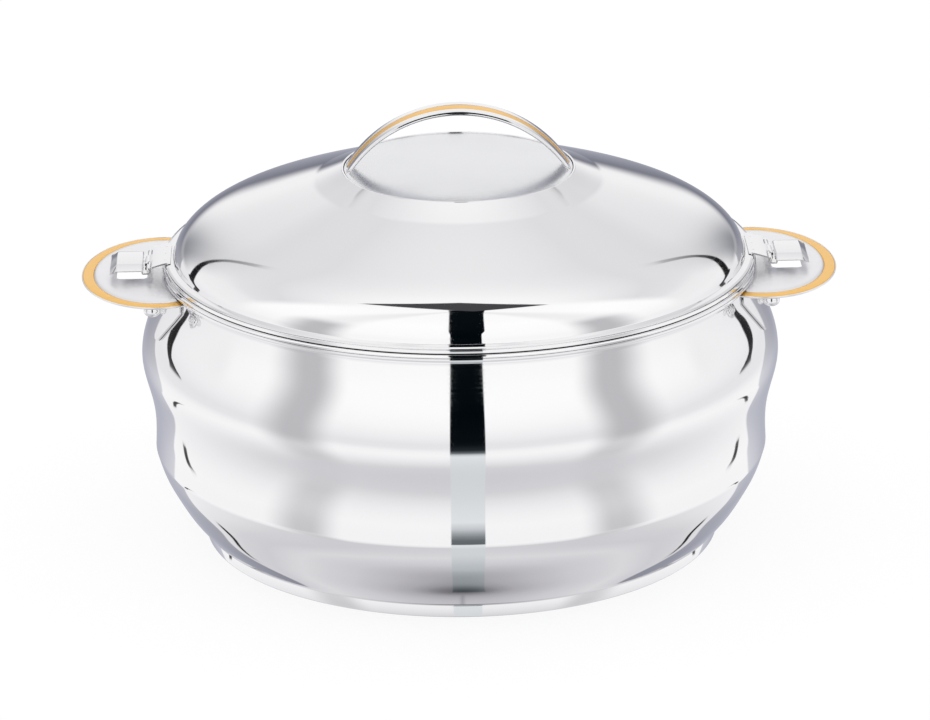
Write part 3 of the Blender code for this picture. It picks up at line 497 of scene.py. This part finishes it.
STEEL_COLOUR = (0.90, 0.90, 0.905)
mirror_turned = metal("mirror_steel_turned", STEEL_COLOUR, 0.035, 0.02, 900.0, 0.03, True)
mirror_sheet = metal("mirror_steel_sheet", STEEL_COLOUR, 0.05, 0.03, 1200.0, 0.06, False)
satin_turned = metal("satin_steel_turned", (0.74, 0.74, 0.75), 0.28, 0.06, 2600.0, 0.35, True)
satin_sheet = metal("satin_steel_sheet", (0.74, 0.74, 0.75), 0.22, 0.06, 2600.0, 0.3, False)
satin_plate = metal("satin_plate_steel", (0.91, 0.91, 0.92), 0.33, 0.05, 2200.0, 0.12, False)
satin_disc = metal("satin_disc_steel", (0.83, 0.835, 0.845), 0.22, 0.04, 2200.0, 0.08, False)
gold_finish = metal(
    "gold_steel", (1.0, 0.58, 0.115), 0.36, 0.05, 1500.0, 0.1, False, metallic=0.7, coat=0.3)
foam_finish = insulation_foam()


# ---------------------------------------------------------------- body

def make_foot_ring():
    outline = eased([
        (116.9, 0, 0.3), (122.15, 0, 0.6), (122.9, 6.2, 0.4), (121.4, 6.2, 0.3), (121.0, 1.2, 0.6),
        (116.9, 1.2, 0.3),
    ])
    piece = mesh_object("foot_ring_polished", turned(outline))
    dress(piece, "body", "foot_ring", mirror_turned)


def make_base_plate():
    under = eased([
        (0, 4.6), (40, 4.6, 0.8), (41.5, 5.0, 0.8), (44.5, 5.0, 0.8), (46, 4.6, 0.8),
        (90, 4.6, 1.5), (94, 5.2, 1.5), (121.1, 5.2, 0.2), (121.1, 6.2),
    ], closed=False)
    over = eased([
        (121.1, 6.2), (94, 6.2, 1.5), (90, 5.6, 1.5), (46, 5.6, 0.8), (44.5, 6.0, 0.8),
        (41.5, 6.0, 0.8), (40, 5.6, 0.8), (0, 5.6),
    ], closed=False)
    piece = mesh_object("base_plate_pressed", turned(under + over[1:], closed=False))
    dress(piece, "body", "base_plate", satin_turned)


def make_outer_shell():
    outside = (
        eased([(111.3, 6.5), (124.2, 6.5, 0.4), TAPER[0]], closed=False)
        + flowing(TAPER)[1:] + flowing(BELLY)[1:]
        + eased([(136.3, 128.4), (NECK_RADIUS, SHELL_TOP)], closed=False)
    )
    inside = beside(outside[8::WALL_THINNING] + [outside[-1]], SHELL_WALL)
    inside[-1] = (NECK_RADIUS - SHELL_WALL, SHELL_TOP)
    outline = outside + inside[::-1] + [(123.4, 7.5), (111.3, 7.5)]
    piece = mesh_object("outer_shell_polished", turned(outline))
    dress(piece, "body", "outer_shell", mirror_turned)


def make_inner_bowl():
    inside = eased([
        (0, 22.8), (62, 22.8, 1.2), (64, 23.2, 1.2), (70, 23.2, 1.2), (72, 22.8, 1.2),
        (124.2, 22.8, 19.2), (124.2, 132.5, 3.0), (135.9, 132.5, 0.2), (135.9, 131.7),
    ], steps=12, closed=False)
    outside = eased([
        (135.9, 131.7), (125.0, 131.7, 2.2), (125.0, 22.0, 20.0), (72, 22.0, 1.2), (70, 22.4, 1.2),
        (64, 22.4, 1.2), (62, 22.0, 1.2), (0, 22.0),
    ], steps=12, closed=False)
    piece = mesh_object("inner_bowl_satin", turned(inside + outside[1:], closed=False))
    dress(piece, "body", "inner_bowl", satin_turned)


def make_rim_band():
    upper_roll = flowing([
        (136.4, 133.7), (138.2, 133.62), (139.3, 133.2), (139.82, 132.6), (139.9, 132.05),
    ], 0.2)
    lower_roll = flowing([
        (139.9, 131.85), (140.0, 131.2), (139.85, 130.5), (139.35, 129.9), (138.6, 129.55),
    ], 0.2)
    inside = eased([
        (138.3, 129.55, 0.1), (138.3, 130.0, 0.1), (138.85, 130.5, 0.4), (138.4, 131.2, 0.3),
        (138.4, 132.2, 0.3), (137.9, 132.8, 0.4), (125.3, 132.8, 0.3), (125.3, 133.7, 0.4),
        (136.4, 133.7),
    ], closed=False)
    outline = upper_roll + [(139.05, 132.0), (139.05, 131.9)] + lower_roll + inside[:-1]
    piece = mesh_object("rim_band_rolled", turned(outline))
    dress(piece, "body", "rim_band", mirror_turned, crease=50)


def lift_border(bm, side):
    """The border of a side handle lies a little higher at the front and back than at its tip."""
    for vert in bm.verts:
        across = (vert.co.x / MM - side * HANDLE_CENTRE) / (HANDLE_REACH - BORDER_INSET)
        along = vert.co.y / MM / (HANDLE_HALF_WIDTH - BORDER_INSET)
        if math.hypot(across, along) > 1.0:
            vert.co.z += BORDER_LIFT * abs(vert.co.y) / HANDLE_HALF_WIDTH
    return bm


def make_handle_plate(side, hand):
    levels = [
        (11.0, 129.0), (9.4, 128.97), (8.1, 128.87), (7.2, 128.72), (6.5, 128.5), (6.1, 128.3),
        (5.78, 127.95), (5.68, 127.5), (5.5, 127.25), (0.62, 127.0), (0.5, 127.1), (0.46, 127.5),
        (0.38, 127.66), (0.22, 127.72), (0.07, 127.64), (0, 127.48), (0, 127.1), (0.08, 126.9),
        (0.3, 126.75), (5.9, 126.7), (6.5, 126.9), (6.8, 127.3), (6.95, 127.9), (7.2, 128.0),
        (9.0, 128.0),
    ]
    plate = lift_border(oval_stack(levels, side), side)
    piece = mesh_object(f"{hand}_handle_plate_pressed", plate)
    cut_away(piece, [neck_cylinder(PLATE_SEAT), slot_cutter(side)])
    dress(piece, "body", f"{hand}_handle_plate", satin_plate, crease=50)


def make_handle_trim(side, hand):
    levels = [
        (5.58, 127.4), (5.58, 127.8), (5.45, 127.93), (4.9, 127.97), (3.2, 127.86), (1.4, 127.72),
        (0.68, 127.64), (0.56, 127.55), (0.54, 127.2),
    ]
    trim = lift_border(oval_stack(levels, side, ring=True), side)
    piece = mesh_object(f"{hand}_handle_trim_gold", trim)
    cut_away(piece, [neck_cylinder(PLATE_SEAT + 0.3)])
    dress(piece, "body", f"{hand}_handle_trim", gold_finish, crease=50)


def shell_radius(height):
    """The outer shell's radius at a height on its belly."""
    radii, heights = zip(*flowing(BELLY))
    return float(np.interp(height, heights, radii))


def tongue(side, end):
    """A rounded strap that lies on the shoulder and runs down from under the handle."""
    bm = bmesh.new()
    bmesh.ops.create_grid(bm, x_segments=10, y_segments=26, size=0.5)
    slant = math.radians(TONGUE_SLANT)
    for vert in bm.verts:
        gone = TONGUE_LENGTH * (1 - (0.5 + vert.co.y) ** 1.5)
        left = TONGUE_LENGTH - gone
        half = TONGUE_HALF
        if left < TONGUE_HALF:
            half = math.sqrt(max(TONGUE_HALF ** 2 - (TONGUE_HALF - left) ** 2, 0.09))
        aside = 2 * vert.co.x * half
        height = TONGUE_TOP - gone * math.cos(slant) - aside * math.sin(slant)
        radius = shell_radius(height) + 0.2
        along = gone * math.sin(slant) - aside * math.cos(slant)
        turn = math.radians(TONGUE_START) - along / SHOULDER_RADIUS
        vert.co = (
            side * radius * MM * math.cos(turn), end * radius * MM * math.sin(turn), height * MM)
    bmesh.ops.recalc_face_normals(bm, faces=bm.faces)
    outward = sum((face.normal.dot(face.calc_center_median()) for face in bm.faces))
    if outward < 0:
        bmesh.ops.reverse_faces(bm, faces=bm.faces)
    bmesh.ops.solidify(bm, geom=bm.faces[:], thickness=-TONGUE_SHEET * MM)
    return bm


def folded_lobe(side, end, across, size):
    """The rounded end of the fold under the border."""
    bm = bmesh.new()
    bmesh.ops.create_uvsphere(bm, u_segments=32, v_segments=20, radius=MM)
    bmesh.ops.scale(bm, vec=size, verts=bm.verts)
    centre = (side * across * MM, end * LOBE_ALONG * MM, LOBE_HEIGHT * MM)
    bmesh.ops.translate(bm, vec=centre, verts=bm.verts)
    return bm


def make_handle_bracket(side, hand):
    sheet = oval_stack([(8.3, 126.9), (8.3, 127.8)], side)
    carrier = mesh_object(f"{hand}_handle_bracket_folded", sheet)
    beyond = block((145.0, -60, 120), (190, 60, 135), side)
    cut_away(carrier, [neck_cylinder(136.6), beyond])
    whole = bmesh.new()
    whole.from_mesh(carrier.data)
    for end in (-1, 1):
        for part in (tongue(side, end), *(folded_lobe(side, end, *lobe) for lobe in LOBES)):
            loose = bpy.data.meshes.new("bracket_part")
            part.to_mesh(loose)
            part.free()
            whole.from_mesh(loose)
            bpy.data.meshes.remove(loose)
    whole.to_mesh(carrier.data)
    whole.free()
    soften(carrier, 0.25)
    dress(carrier, "body", f"{hand}_handle_bracket", mirror_sheet)


# ---------------------------------------------------------------- lid

def make_lid_dome():
    crown = eased([
        (0, 174.8), (53.9, 174.8, 0.3), (53.9, 177.8, 0.3), (54.85, 177.8, 0.3), BOSS[0],
    ], closed=False)
    dome = flowing(BOSS)[:-1] + flowing(DOME)
    ledge = eased([
        dome[-2], (134.65, 136.9, 0.4), (137.3, 136.5, 0.9), (138.6, 135.97, 0.15),
        (138.0, 135.88), (138.0, 135.7), (138.8, 135.72, 0.1), (139.1, 135.55, 0.3),
        (139.1, 134.0, 0.35), (138.5, 134.0, 0.1), (138.5, 135.0, 0.2), (133.7, 135.0),
    ], closed=False)
    lining = beside(dome[8::WALL_THINNING], -LID_WALL)
    outline = crown + dome[1:-1] + ledge[1:] + lining[::-1] + [(61.0, 173.9), (0, 173.9)]
    piece = mesh_object("lid_dome_polished", turned(outline, closed=False))
    dress(piece, "lid", "lid_dome", mirror_turned)


def make_lid_liner():
    under = eased([
        (0, 121.5), (84, 121.5, 2.0), (87, 122.3, 2.0), (93, 122.3, 2.0), (96, 121.5, 2.0),
        (123.0, 121.5, 4.0), (123.0, 134.0, 0.7), (138.2, 134.0),
    ], steps=8, closed=False)
    over = eased([
        (138.2, 134.7), (122.3, 134.7, 1.2), (122.3, 122.2, 3.4), (96, 122.2, 2.0),
        (93, 123.0, 2.0), (87, 123.0, 2.0), (84, 122.2, 2.0), (0, 122.2),
    ], steps=8, closed=False)
    piece = mesh_object("lid_liner_satin", turned(under + over, closed=False))
    dress(piece, "lid", "lid_liner", satin_turned)


def make_top_disc():
    outline = eased([
        (0, 175.1), (53.6, 175.1, 0.3), (53.6, 177.4, 0.25), (0, 177.4),
    ], closed=False)
    piece = mesh_object("lid_top_disc_polished", turned(outline, closed=False))
    dress(piece, "lid", "lid_top_disc", satin_disc)


def make_lid_handle():
    half = eased([
        (3.3, 0.85), (3.3, 0.0, 0.12), (8.25, 0.12, 0.22), (8.3, 0.95, 0.06), (8.78, 1.05, 0.3),
        (8.78, 1.8, 0.35), (7.6, 1.85, 0.3), (7.2, 1.5, 0.4), (0, 1.5),
    ], steps=6, closed=False)
    other = [(-across, depth) for across, depth in half[::-1]]
    section = half[:-1] + other[1:]
    piece = mesh_object("lid_handle_strap", arched(section, ARCH_FOOT))
    dress(piece, "lid", "lid_handle", mirror_sheet, crease=40)


def make_lid_handle_inlay():
    section = eased([
        (-3.0, 0.5, 0.05), (-3.0, 0.05, 0.15), (0.0, 0.0, 6.0), (3.0, 0.05, 0.15), (3.0, 0.5, 0.05),
    ])
    piece = mesh_object("lid_handle_inlay_gold", arched(section, INLAY_FOOT))
    dress(piece, "lid", "lid_handle_inlay", gold_finish, crease=40)


def make_latch_leaf(side, hand):
    line = flowing([
        (135.6, 137.25), (137.6, 137.0), (139.4, 136.55), (141.5, 135.95), (143.6, 135.3),
        (145.2, 134.75),
    ], 0.5)[:-1] + curl(110, -180)
    leaf = drawn_across(bent_sheet(line, LATCH_SHEET), LEAF_HALF, side)
    piece = mesh_object(f"{hand}_latch_leaf_polished", leaf)
    edge = HINGE_X - KNUCKLE_REACH
    cutters = [
        block((edge, low, HINGE_Z - 6), (HINGE_X + 6, high, HINGE_Z + 6), side)
        for low, high in ((-LEAF_HALF - 2, -LEAF_KNUCKLE_HALF), (LEAF_KNUCKLE_HALF, LEAF_HALF + 2))
    ]
    for across in WELD_PLACES:
        weld = bmesh.new()
        bmesh.ops.create_uvsphere(weld, u_segments=20, v_segments=12, radius=WELD_RADIUS * MM)
        spot = (side * WELD_X * MM, across * MM, WELD_HEIGHT * MM)
        bmesh.ops.translate(weld, vec=spot, verts=weld.verts)
        cutters.append(weld)
    cut_away(piece, cutters)
    soften(piece, 0.12)
    dress(piece, "lid", f"{hand}_latch_leaf", mirror_sheet)


def make_hinge_pin(side, hand):
    bm = bmesh.new()
    middle = Matrix.Translation((side * HINGE_X * MM, 0, HINGE_Z * MM))
    lying = middle @ Matrix.Rotation(math.pi / 2, 4, "X")
    bmesh.ops.create_cone(
        bm, cap_ends=True, segments=32, radius1=PIN_RADIUS * MM, radius2=PIN_RADIUS * MM,
        depth=2 * (LEVER_HALF + 0.5) * MM, matrix=lying,
    )
    rims = [
        edge for edge in bm.edges
        if len(edge.link_faces) == 2 and any(len(face.verts) > 4 for face in edge.link_faces)
    ]
    bmesh.ops.bevel(
        bm, geom=rims, offset=0.25 * MM, segments=3, profile=0.5, affect="EDGES", material=-1)
    piece = mesh_object(f"{hand}_hinge_pin_polished", bm)
    dress(piece, "lid", f"{hand}_hinge_pin", mirror_sheet)


# ---------------------------------------------------------------- latches

def make_latch_lever(side, hand):
    line = curl(100, 270) + eased([
        (147.9, 131.9), (148.6, 131.9, 0.5), (148.95, 134.95, 0.9), (160.7, 134.95, 1.0),
        (163.5, 132.75, 0.5), (163.9, 132.5),
    ], steps=8, closed=False)
    lever = drawn_across(bent_sheet(line, LATCH_SHEET), LEVER_HALF, side)
    for start in (-LEVER_HALF + LEVER_SLOPE, LEVER_HALF - LEVER_SLOPE):
        for at in (start - 0.4, start + 0.4):
            bmesh.ops.bisect_plane(
                lever, geom=lever.verts[:] + lever.edges[:] + lever.faces[:],
                plane_co=(0, at * MM, 0), plane_no=(0, 1, 0))
    for vert in lever.verts:
        gone = (abs(vert.co.y) / MM - LEVER_HALF + LEVER_SLOPE) / LEVER_SLOPE
        raised = (vert.co.z / MM - LEVER_FLAT) / LEVER_RISE
        if side * vert.co.x / MM > LEVER_HUMP_START and gone > 0:
            vert.co.z -= LEVER_DROP * MM * gone * max(0.0, min(1.0, raised))
    piece = mesh_object(f"{hand}_latch_lever_polished", lever)
    half = LEAF_KNUCKLE_HALF + 0.3
    notch = block(
        (HINGE_X - 5, -half, HINGE_Z - 5), (HINGE_X + KNUCKLE_REACH, half, HINGE_Z + 5), side)
    cut_away(piece, [notch])
    soften(piece, 0.14)
    dress(piece, f"{hand}_latch", f"{hand}_latch_lever", mirror_sheet)


def make_catch_spring(side, hand):
    bow = ((0, 0.55), (0.15, 0.86), (0.32, 1), (0.52, 0.88), (0.7, 0.42), (0.85, 0.06), (1, 0))
    line = flowing([
        (SPRING_START + SPRING_LENGTH * along, SPRING_TOP - SPRING_DIP * dip)
        for along, dip in bow
    ], 0.3)
    spring = drawn_across(bent_sheet(line, SPRING_SHEET), SPRING_HALF, side)
    piece = mesh_object(f"{hand}_catch_spring_satin", spring)
    soften(piece, 0.1)
    dress(piece, f"{hand}_latch", f"{hand}_catch_spring", satin_sheet)


# ---------------------------------------------------------------- studio

ROOM_LEVELS = (  # height of the direction, level seen in the steel
    (-1.0, 0.42), (-0.9998, 0.46), (-0.988, 0.65), (-0.966, 0.73), (-0.93, 0.79), (-0.85, 0.845),
    (-0.78, 0.80), (-0.71, 0.82), (-0.63, 0.88), (-0.54, 0.92), (-0.45, 0.945), (-0.36, 0.96),
    (-0.26, 0.95), (-0.15, 0.90), (-0.05, 0.895), (0.1, 0.93), (0.3, 0.965), (0.5, 0.985),
    (0.85, 0.995), (1.0, 0.98),
)
WALL_LEVELS = (  # the grey wall behind
    (-1.0, 0.40), (-0.85, 0.50), (-0.62, 0.60), (-0.54, 0.655), (-0.45, 0.70), (-0.35, 0.705),
    (-0.28, 0.69), (-0.2, 0.62), (-0.1, 0.56), (0.0, 0.48), (0.15, 0.46), (1.0, 0.60),
)
UPPER_LEVELS = (  # the wall above it, up to the ceiling
    (-1.0, 0.93), (0.0, 0.90), (0.15, 0.93), (0.35, 0.93), (0.5, 0.92), (0.6, 0.885),
    (0.75, 0.865), (0.85, 0.91), (0.95, 0.965), (1.0, 0.98),
)
LOBE_PLACES = ((-1.0, 0.47), (0.4, 0.47), (0.65, 0.34), (0.75, 0.22), (1.0, 0.2))
WALL_EDGES = (  # height of the direction, half the wall's width
    (-1.0, 0.0), (-0.9, 0.0), (-0.8, 0.25), (-0.65, 0.42), (-0.6, 0.455), (-0.4, 0.57),
    (-0.35, 0.635), (-0.25, 0.68), (-0.18, 0.665), (-0.12, 0.61), (-0.08, 0.575), (0.05, 0.55),
    (1.0, 0.3),
)
STRIPE_LEVELS = (  # the dark window opposite, and the floor under it
    (-1.0, 0.30), (-0.9998, 0.38), (-0.996, 0.5), (-0.985, 0.62), (-0.966, 0.72), (-0.829, 0.82),
    (-0.68, 0.84), (-0.56, 0.86), (-0.40, 0.88), (-0.34, 0.78), (-0.28, 0.40), (-0.20, 0.16),
    (-0.05, 0.07), (0.05, 0.05), (0.5, 0.03), (1.0, 0.05),
)
LINE_PLACES = (  # height of the direction, distance from the middle plane
    (-1.0, 0.2), (-0.85, 0.3), (-0.72, 0.40), (-0.68, 0.465), (-0.65, 0.505), (-0.6, 0.56),
    (-0.47, 0.625), (-0.44, 0.665), (-0.41, 0.705), (-0.385, 0.745), (-0.34, 0.82), (-0.2, 0.86),
    (-0.04, 0.85), (0.0, 0.80), (0.03, 0.745), (0.07, 0.74), (0.15, 0.72), (0.25, 0.675),
    (0.35, 0.605), (0.45, 0.52), (0.55, 0.43), (0.65, 0.365), (0.72, 0.325), (0.8, 0.30),
    (1.0, 0.29),
)
LINE_STRENGTH = (  # height of the direction, how dark the seam is
    (-1.0, 0.0), (-0.74, 0.0), (-0.70, 0.9), (-0.66, 1.0), (-0.62, 0.0), (-0.475, 0.0),
    (-0.445, 0.85), (-0.40, 0.95), (-0.37, 0.6), (-0.34, 0.0), (-0.08, 0.0), (-0.045, 0.3),
    (-0.01, 0.95), (0.1, 1.0), (0.3, 1.0), (0.42, 0.95), (0.52, 0.7), (0.62, 0.4), (0.70, 0.0),
    (1.0, 0.0),
)
CAMERA_TURN = -1.4
WHITE_GAIN = 1.11


def level_ramp(tree, height, levels, tint=(0.0, 0.0, 0.0)):
    """Surroundings whose level follows the height of the direction."""
    place = sums(tree, "MULTIPLY_ADD", height, 0.5, 0.5)
    ramp = tree.nodes.new("ShaderNodeValToRGB")
    tree.links.new(place, ramp.inputs["Fac"])
    stops = ramp.color_ramp.elements
    while len(stops) < len(levels):
        stops.new(0.5)
    for stop, (at, level) in zip(stops, levels):
        stop.position = at * 0.5 + 0.5
        share = min(1.0, max(0.0, 4 * (1 - level)))
        stop.color = (*(linear(max(0.0, level + t * share)) * WHITE_GAIN for t in tint), 1.0)
    return ramp.outputs["Color"]


def place_curve(tree, height, places):
    """How far from the middle plane something stands, by the height of the direction."""
    node = tree.nodes.new("ShaderNodeFloatCurve")
    link_in(tree, node.inputs["Value"], sums(tree, "MULTIPLY_ADD", height, 0.5, 0.5))
    points = node.mapping.curves[0].points
    while len(points) < len(places):
        points.new(0.5, 0.5)
    for point, (at, value) in zip(points, places):
        point.location = (at * 0.5 + 0.5, value)
        point.handle_type = "AUTO_CLAMPED"
    node.mapping.update()
    return node.outputs["Value"]


def both_of(tree, *shares):
    """The product of several shares: all of them have to hold."""
    total = shares[0]
    for share in shares[1:]:
        total = sums(tree, "MULTIPLY", total, share)
    return total


def make_surroundings():
    """White studio walls with the grey and dark gaps that polished steel picks up."""
    world = bpy.data.worlds.new("white_studio")
    bpy.context.scene.world = world
    world.use_nodes = True
    tree = world.node_tree
    direction = tree.nodes.new("ShaderNodeMapping")
    direction.vector_type = "VECTOR"
    direction.inputs["Rotation"].default_value = (0, 0, math.radians(-CAMERA_TURN))
    outward = tree.nodes.new("ShaderNodeTexCoord").outputs["Generated"]
    tree.links.new(outward, direction.inputs["Vector"])
    split = tree.nodes.new("ShaderNodeSeparateXYZ")
    tree.links.new(direction.outputs["Vector"], split.inputs[0])
    x, y, z = split.outputs
    away = sums(tree, "ABSOLUTE", x)
    behind = eased_step(tree, y, 0.05, 0.2)

    # soft grey uprights at both sides of the front
    turn = sums(tree, "ABSOLUTE", sums(tree, "ARCTAN2", x, sums(tree, "MULTIPLY", y, -1.0)))
    upright = both_of(
        tree, eased_step(tree, turn, math.radians(44), math.radians(58)),
        eased_step(tree, turn, math.radians(62), math.radians(80), 1.0, 0.0),
        eased_step(tree, z, -0.8, -0.6), eased_step(tree, z, 0.5, 0.75, 1.0, 0.25),
        eased_step(tree, z, -0.45, -0.15, 0.62, 0.95))
    grey = linear(0.72) * WHITE_GAIN
    seen = level_ramp(tree, z, ROOM_LEVELS, (0.0, -0.006, 0.012))
    seen = blend_colours(tree, upright, seen, (grey, grey * 0.99, grey * 1.03, 1))

    # the wall behind, and the two dark lobes above it
    upper = sums(tree, "MULTIPLY", behind, eased_step(tree, z, 0.05, 0.3))
    seen = blend_colours(tree, upper, seen, level_ramp(tree, z, UPPER_LEVELS, (0.0, -0.004, 0.01)))
    past_edge = sums(tree, "SUBTRACT", place_curve(tree, z, WALL_EDGES), away)
    wall = both_of(
        tree, eased_step(tree, past_edge, -0.012, 0.012), behind,
        eased_step(tree, z, -0.02, 0.12, 1.0, 0.0), eased_step(tree, away, 0.25, 0.9, 1.0, 0.35))
    seen = blend_colours(tree, wall, seen, level_ramp(tree, z, WALL_LEVELS, (-0.02, -0.014, 0.03)))
    from_lobe = sums(tree, "SUBTRACT", away, place_curve(tree, z, LOBE_PLACES))
    from_lobe = sums(tree, "ABSOLUTE", from_lobe)
    lobe = both_of(
        tree, eased_step(tree, from_lobe, 0.02, 0.27, 1.0, 0.0), behind,
        eased_step(tree, z, -0.02, 0.1), eased_step(tree, z, 0.05, 0.75, 1.0, 0.0))
    grey = linear(0.56) * WHITE_GAIN
    seen = blend_colours(tree, lobe, seen, (grey * 0.96, grey * 0.98, grey * 1.07, 1))

    # a thin dark seam in the room, left and right
    gap = sums(tree, "ABSOLUTE", sums(tree, "SUBTRACT", place_curve(tree, z, LINE_PLACES), away))
    steep = both_of(
        tree, eased_step(tree, z, -0.1, -0.04), eased_step(tree, z, 0.025, 0.06, 1.0, 0.0))
    lid_part = eased_step(tree, z, 0.025, 0.06)
    lid_width = eased_step(tree, z, 0.25, 0.5, 0.012, -0.002)
    half_width = sums(tree, "MULTIPLY_ADD", steep, 0.028, 0.017)
    half_width = sums(tree, "MULTIPLY_ADD", lid_part, lid_width, half_width)
    dark_line = eased_step(tree, sums(tree, "SUBTRACT", gap, half_width), -0.006, 0.006, 1.0, 0.0)
    dark_line = both_of(tree, dark_line, behind, place_curve(tree, z, LINE_STRENGTH))
    black = linear(0.13)
    seen = blend_colours(tree, dark_line, seen, (black, black, black * 1.1, 1))

    # the dark window opposite, whose reflection keeps one width down the front
    sideways = sums(tree, "SUBTRACT", 1.0, sums(tree, "MULTIPLY", z, z))
    sideways = sums(tree, "SQRT", sums(tree, "MAXIMUM", sideways, 0.0))
    widening = sums(tree, "DIVIDE", sums(tree, "ADD", sideways, 0.94), 1.94)
    widening = sums(tree, "MULTIPLY", widening, eased_step(tree, z, 0.55, 0.7, 1.0, 1.15))
    across = sums(tree, "DIVIDE", x, widening)
    stripe = both_of(
        tree, eased_step(tree, across, -0.069, -0.063),
        eased_step(tree, across, 0.142, 0.148, 1.0, 0.0),
        eased_step(tree, y, 0.03, 0.05, 1.0, 0.0))
    window = level_ramp(tree, z, STRIPE_LEVELS, (-0.02, 0.0, 0.015))
    seen = blend_colours(tree, stripe, seen, window)

    # the window's wide top, right overhead
    off_centre = sums(tree, "ABSOLUTE", sums(tree, "SUBTRACT", x, 0.05))
    near_edge = sums(tree, "SUBTRACT", y, sums(tree, "MULTIPLY", off_centre, 0.5))
    far_edge = sums(tree, "SUBTRACT", sums(tree, "MULTIPLY_ADD", away, -0.29, 0.24), y)
    far_edge = sums(tree, "MULTIPLY_ADD", x, -0.11, far_edge)
    bar = both_of(
        tree, eased_step(tree, near_edge, -0.01, 0.01), eased_step(tree, far_edge, -0.006, 0.006),
        eased_step(tree, z, 0.85, 0.92))
    bar_level = linear(0.28)
    seen = blend_colours(tree, bar, seen, (bar_level, bar_level, bar_level * 1.08, 1))

    rays = tree.nodes.new("ShaderNodeLightPath")
    seen = blend_colours(tree, rays.outputs["Is Diffuse Ray"], seen, (0.9, 0.9, 0.9, 1))
    seen = blend_colours(tree, rays.outputs["Is Camera Ray"], seen, (1, 1, 1, 1))
    background = tree.nodes["Background"]
    tree.links.new(seen, background.inputs["Color"])
    background.inputs["Strength"].default_value = 1.0


def make_floor():
    """A plain white floor that keeps a faint shadow."""
    bm = bmesh.new()
    bmesh.ops.create_grid(bm, x_segments=1, y_segments=1, size=2.5)
    floor = mesh_object("studio_floor", bm)
    floor.visible_glossy = False
    material = bpy.data.materials.new("white_floor")
    material.use_nodes = True
    tree = material.node_tree
    tree.nodes.remove(tree.nodes["Principled BSDF"])
    matt = tree.nodes.new("ShaderNodeBsdfDiffuse")
    matt.inputs["Color"].default_value = (0.25, 0.25, 0.25, 1)
    glow = tree.nodes.new("ShaderNodeEmission")
    rays = tree.nodes.new("ShaderNodeLightPath")
    glow.inputs["Color"].default_value = (1, 1, 1, 1)
    shown = sums(tree, "MULTIPLY", rays.outputs["Is Camera Ray"], 0.79)
    tree.links.new(shown, glow.inputs["Strength"])
    both = tree.nodes.new("ShaderNodeAddShader")
    tree.links.new(matt.outputs[0], both.inputs[0])
    tree.links.new(glow.outputs[0], both.inputs[1])
    tree.links.new(both.outputs[0], tree.nodes["Material Output"].inputs["Surface"])
    floor.data.materials.append(material)


def make_camera():
    """The photograph's viewpoint: a long lens 2.4 metres away, looking a little down."""
    pitch, yaw, roll = math.radians(19.755), math.radians(0.058), math.radians(-0.54)
    distance, height = 2.2318, 0.8827
    flat = math.cos(pitch)
    forward = Vector((math.sin(yaw) * flat, math.cos(yaw) * flat, -math.sin(pitch)))
    level = Vector((math.cos(yaw), -math.sin(yaw), 0))
    upright = level.cross(forward)
    right = level * math.cos(roll) + upright * math.sin(roll)
    up = upright * math.cos(roll) - level * math.sin(roll)
    place = Matrix((right, up, -forward)).transposed().to_4x4()
    place.translation = Vector((0, -distance, height))
    data = bpy.data.cameras.new("photo_view")
    data.lens = 193.3
    data.sensor_width = 36.0
    data.clip_end = 10.0
    camera = bpy.data.objects.new("photo_view", data)
    bpy.context.scene.collection.objects.link(camera)
    camera.matrix_world = Matrix.Rotation(math.radians(CAMERA_TURN), 4, "Z") @ place
    bpy.context.scene.camera = camera


make_foot_ring()
make_base_plate()
make_outer_shell()
make_inner_bowl()
make_rim_band()
make_lid_dome()
make_lid_liner()
make_top_disc()
make_lid_handle()
make_lid_handle_inlay()
for side, hand in ((-1, "left"), (1, "right")):
    make_handle_plate(side, hand)
    make_handle_trim(side, hand)
    make_handle_bracket(side, hand)
    make_latch_leaf(side, hand)
    make_hinge_pin(side, hand)
    make_latch_lever(side, hand)
    make_catch_spring(side, hand)
for node, material, slot in (
    ("body_insulation", foam_finish, "foam"), ("lid_insulation", foam_finish, "foam"),
):
    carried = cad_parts[node]
    carried.data.materials.clear()
    carried.data.materials.append(material)

make_surroundings()
make_floor()
make_camera()
bpy.context.scene.view_settings.view_transform = "Standard"
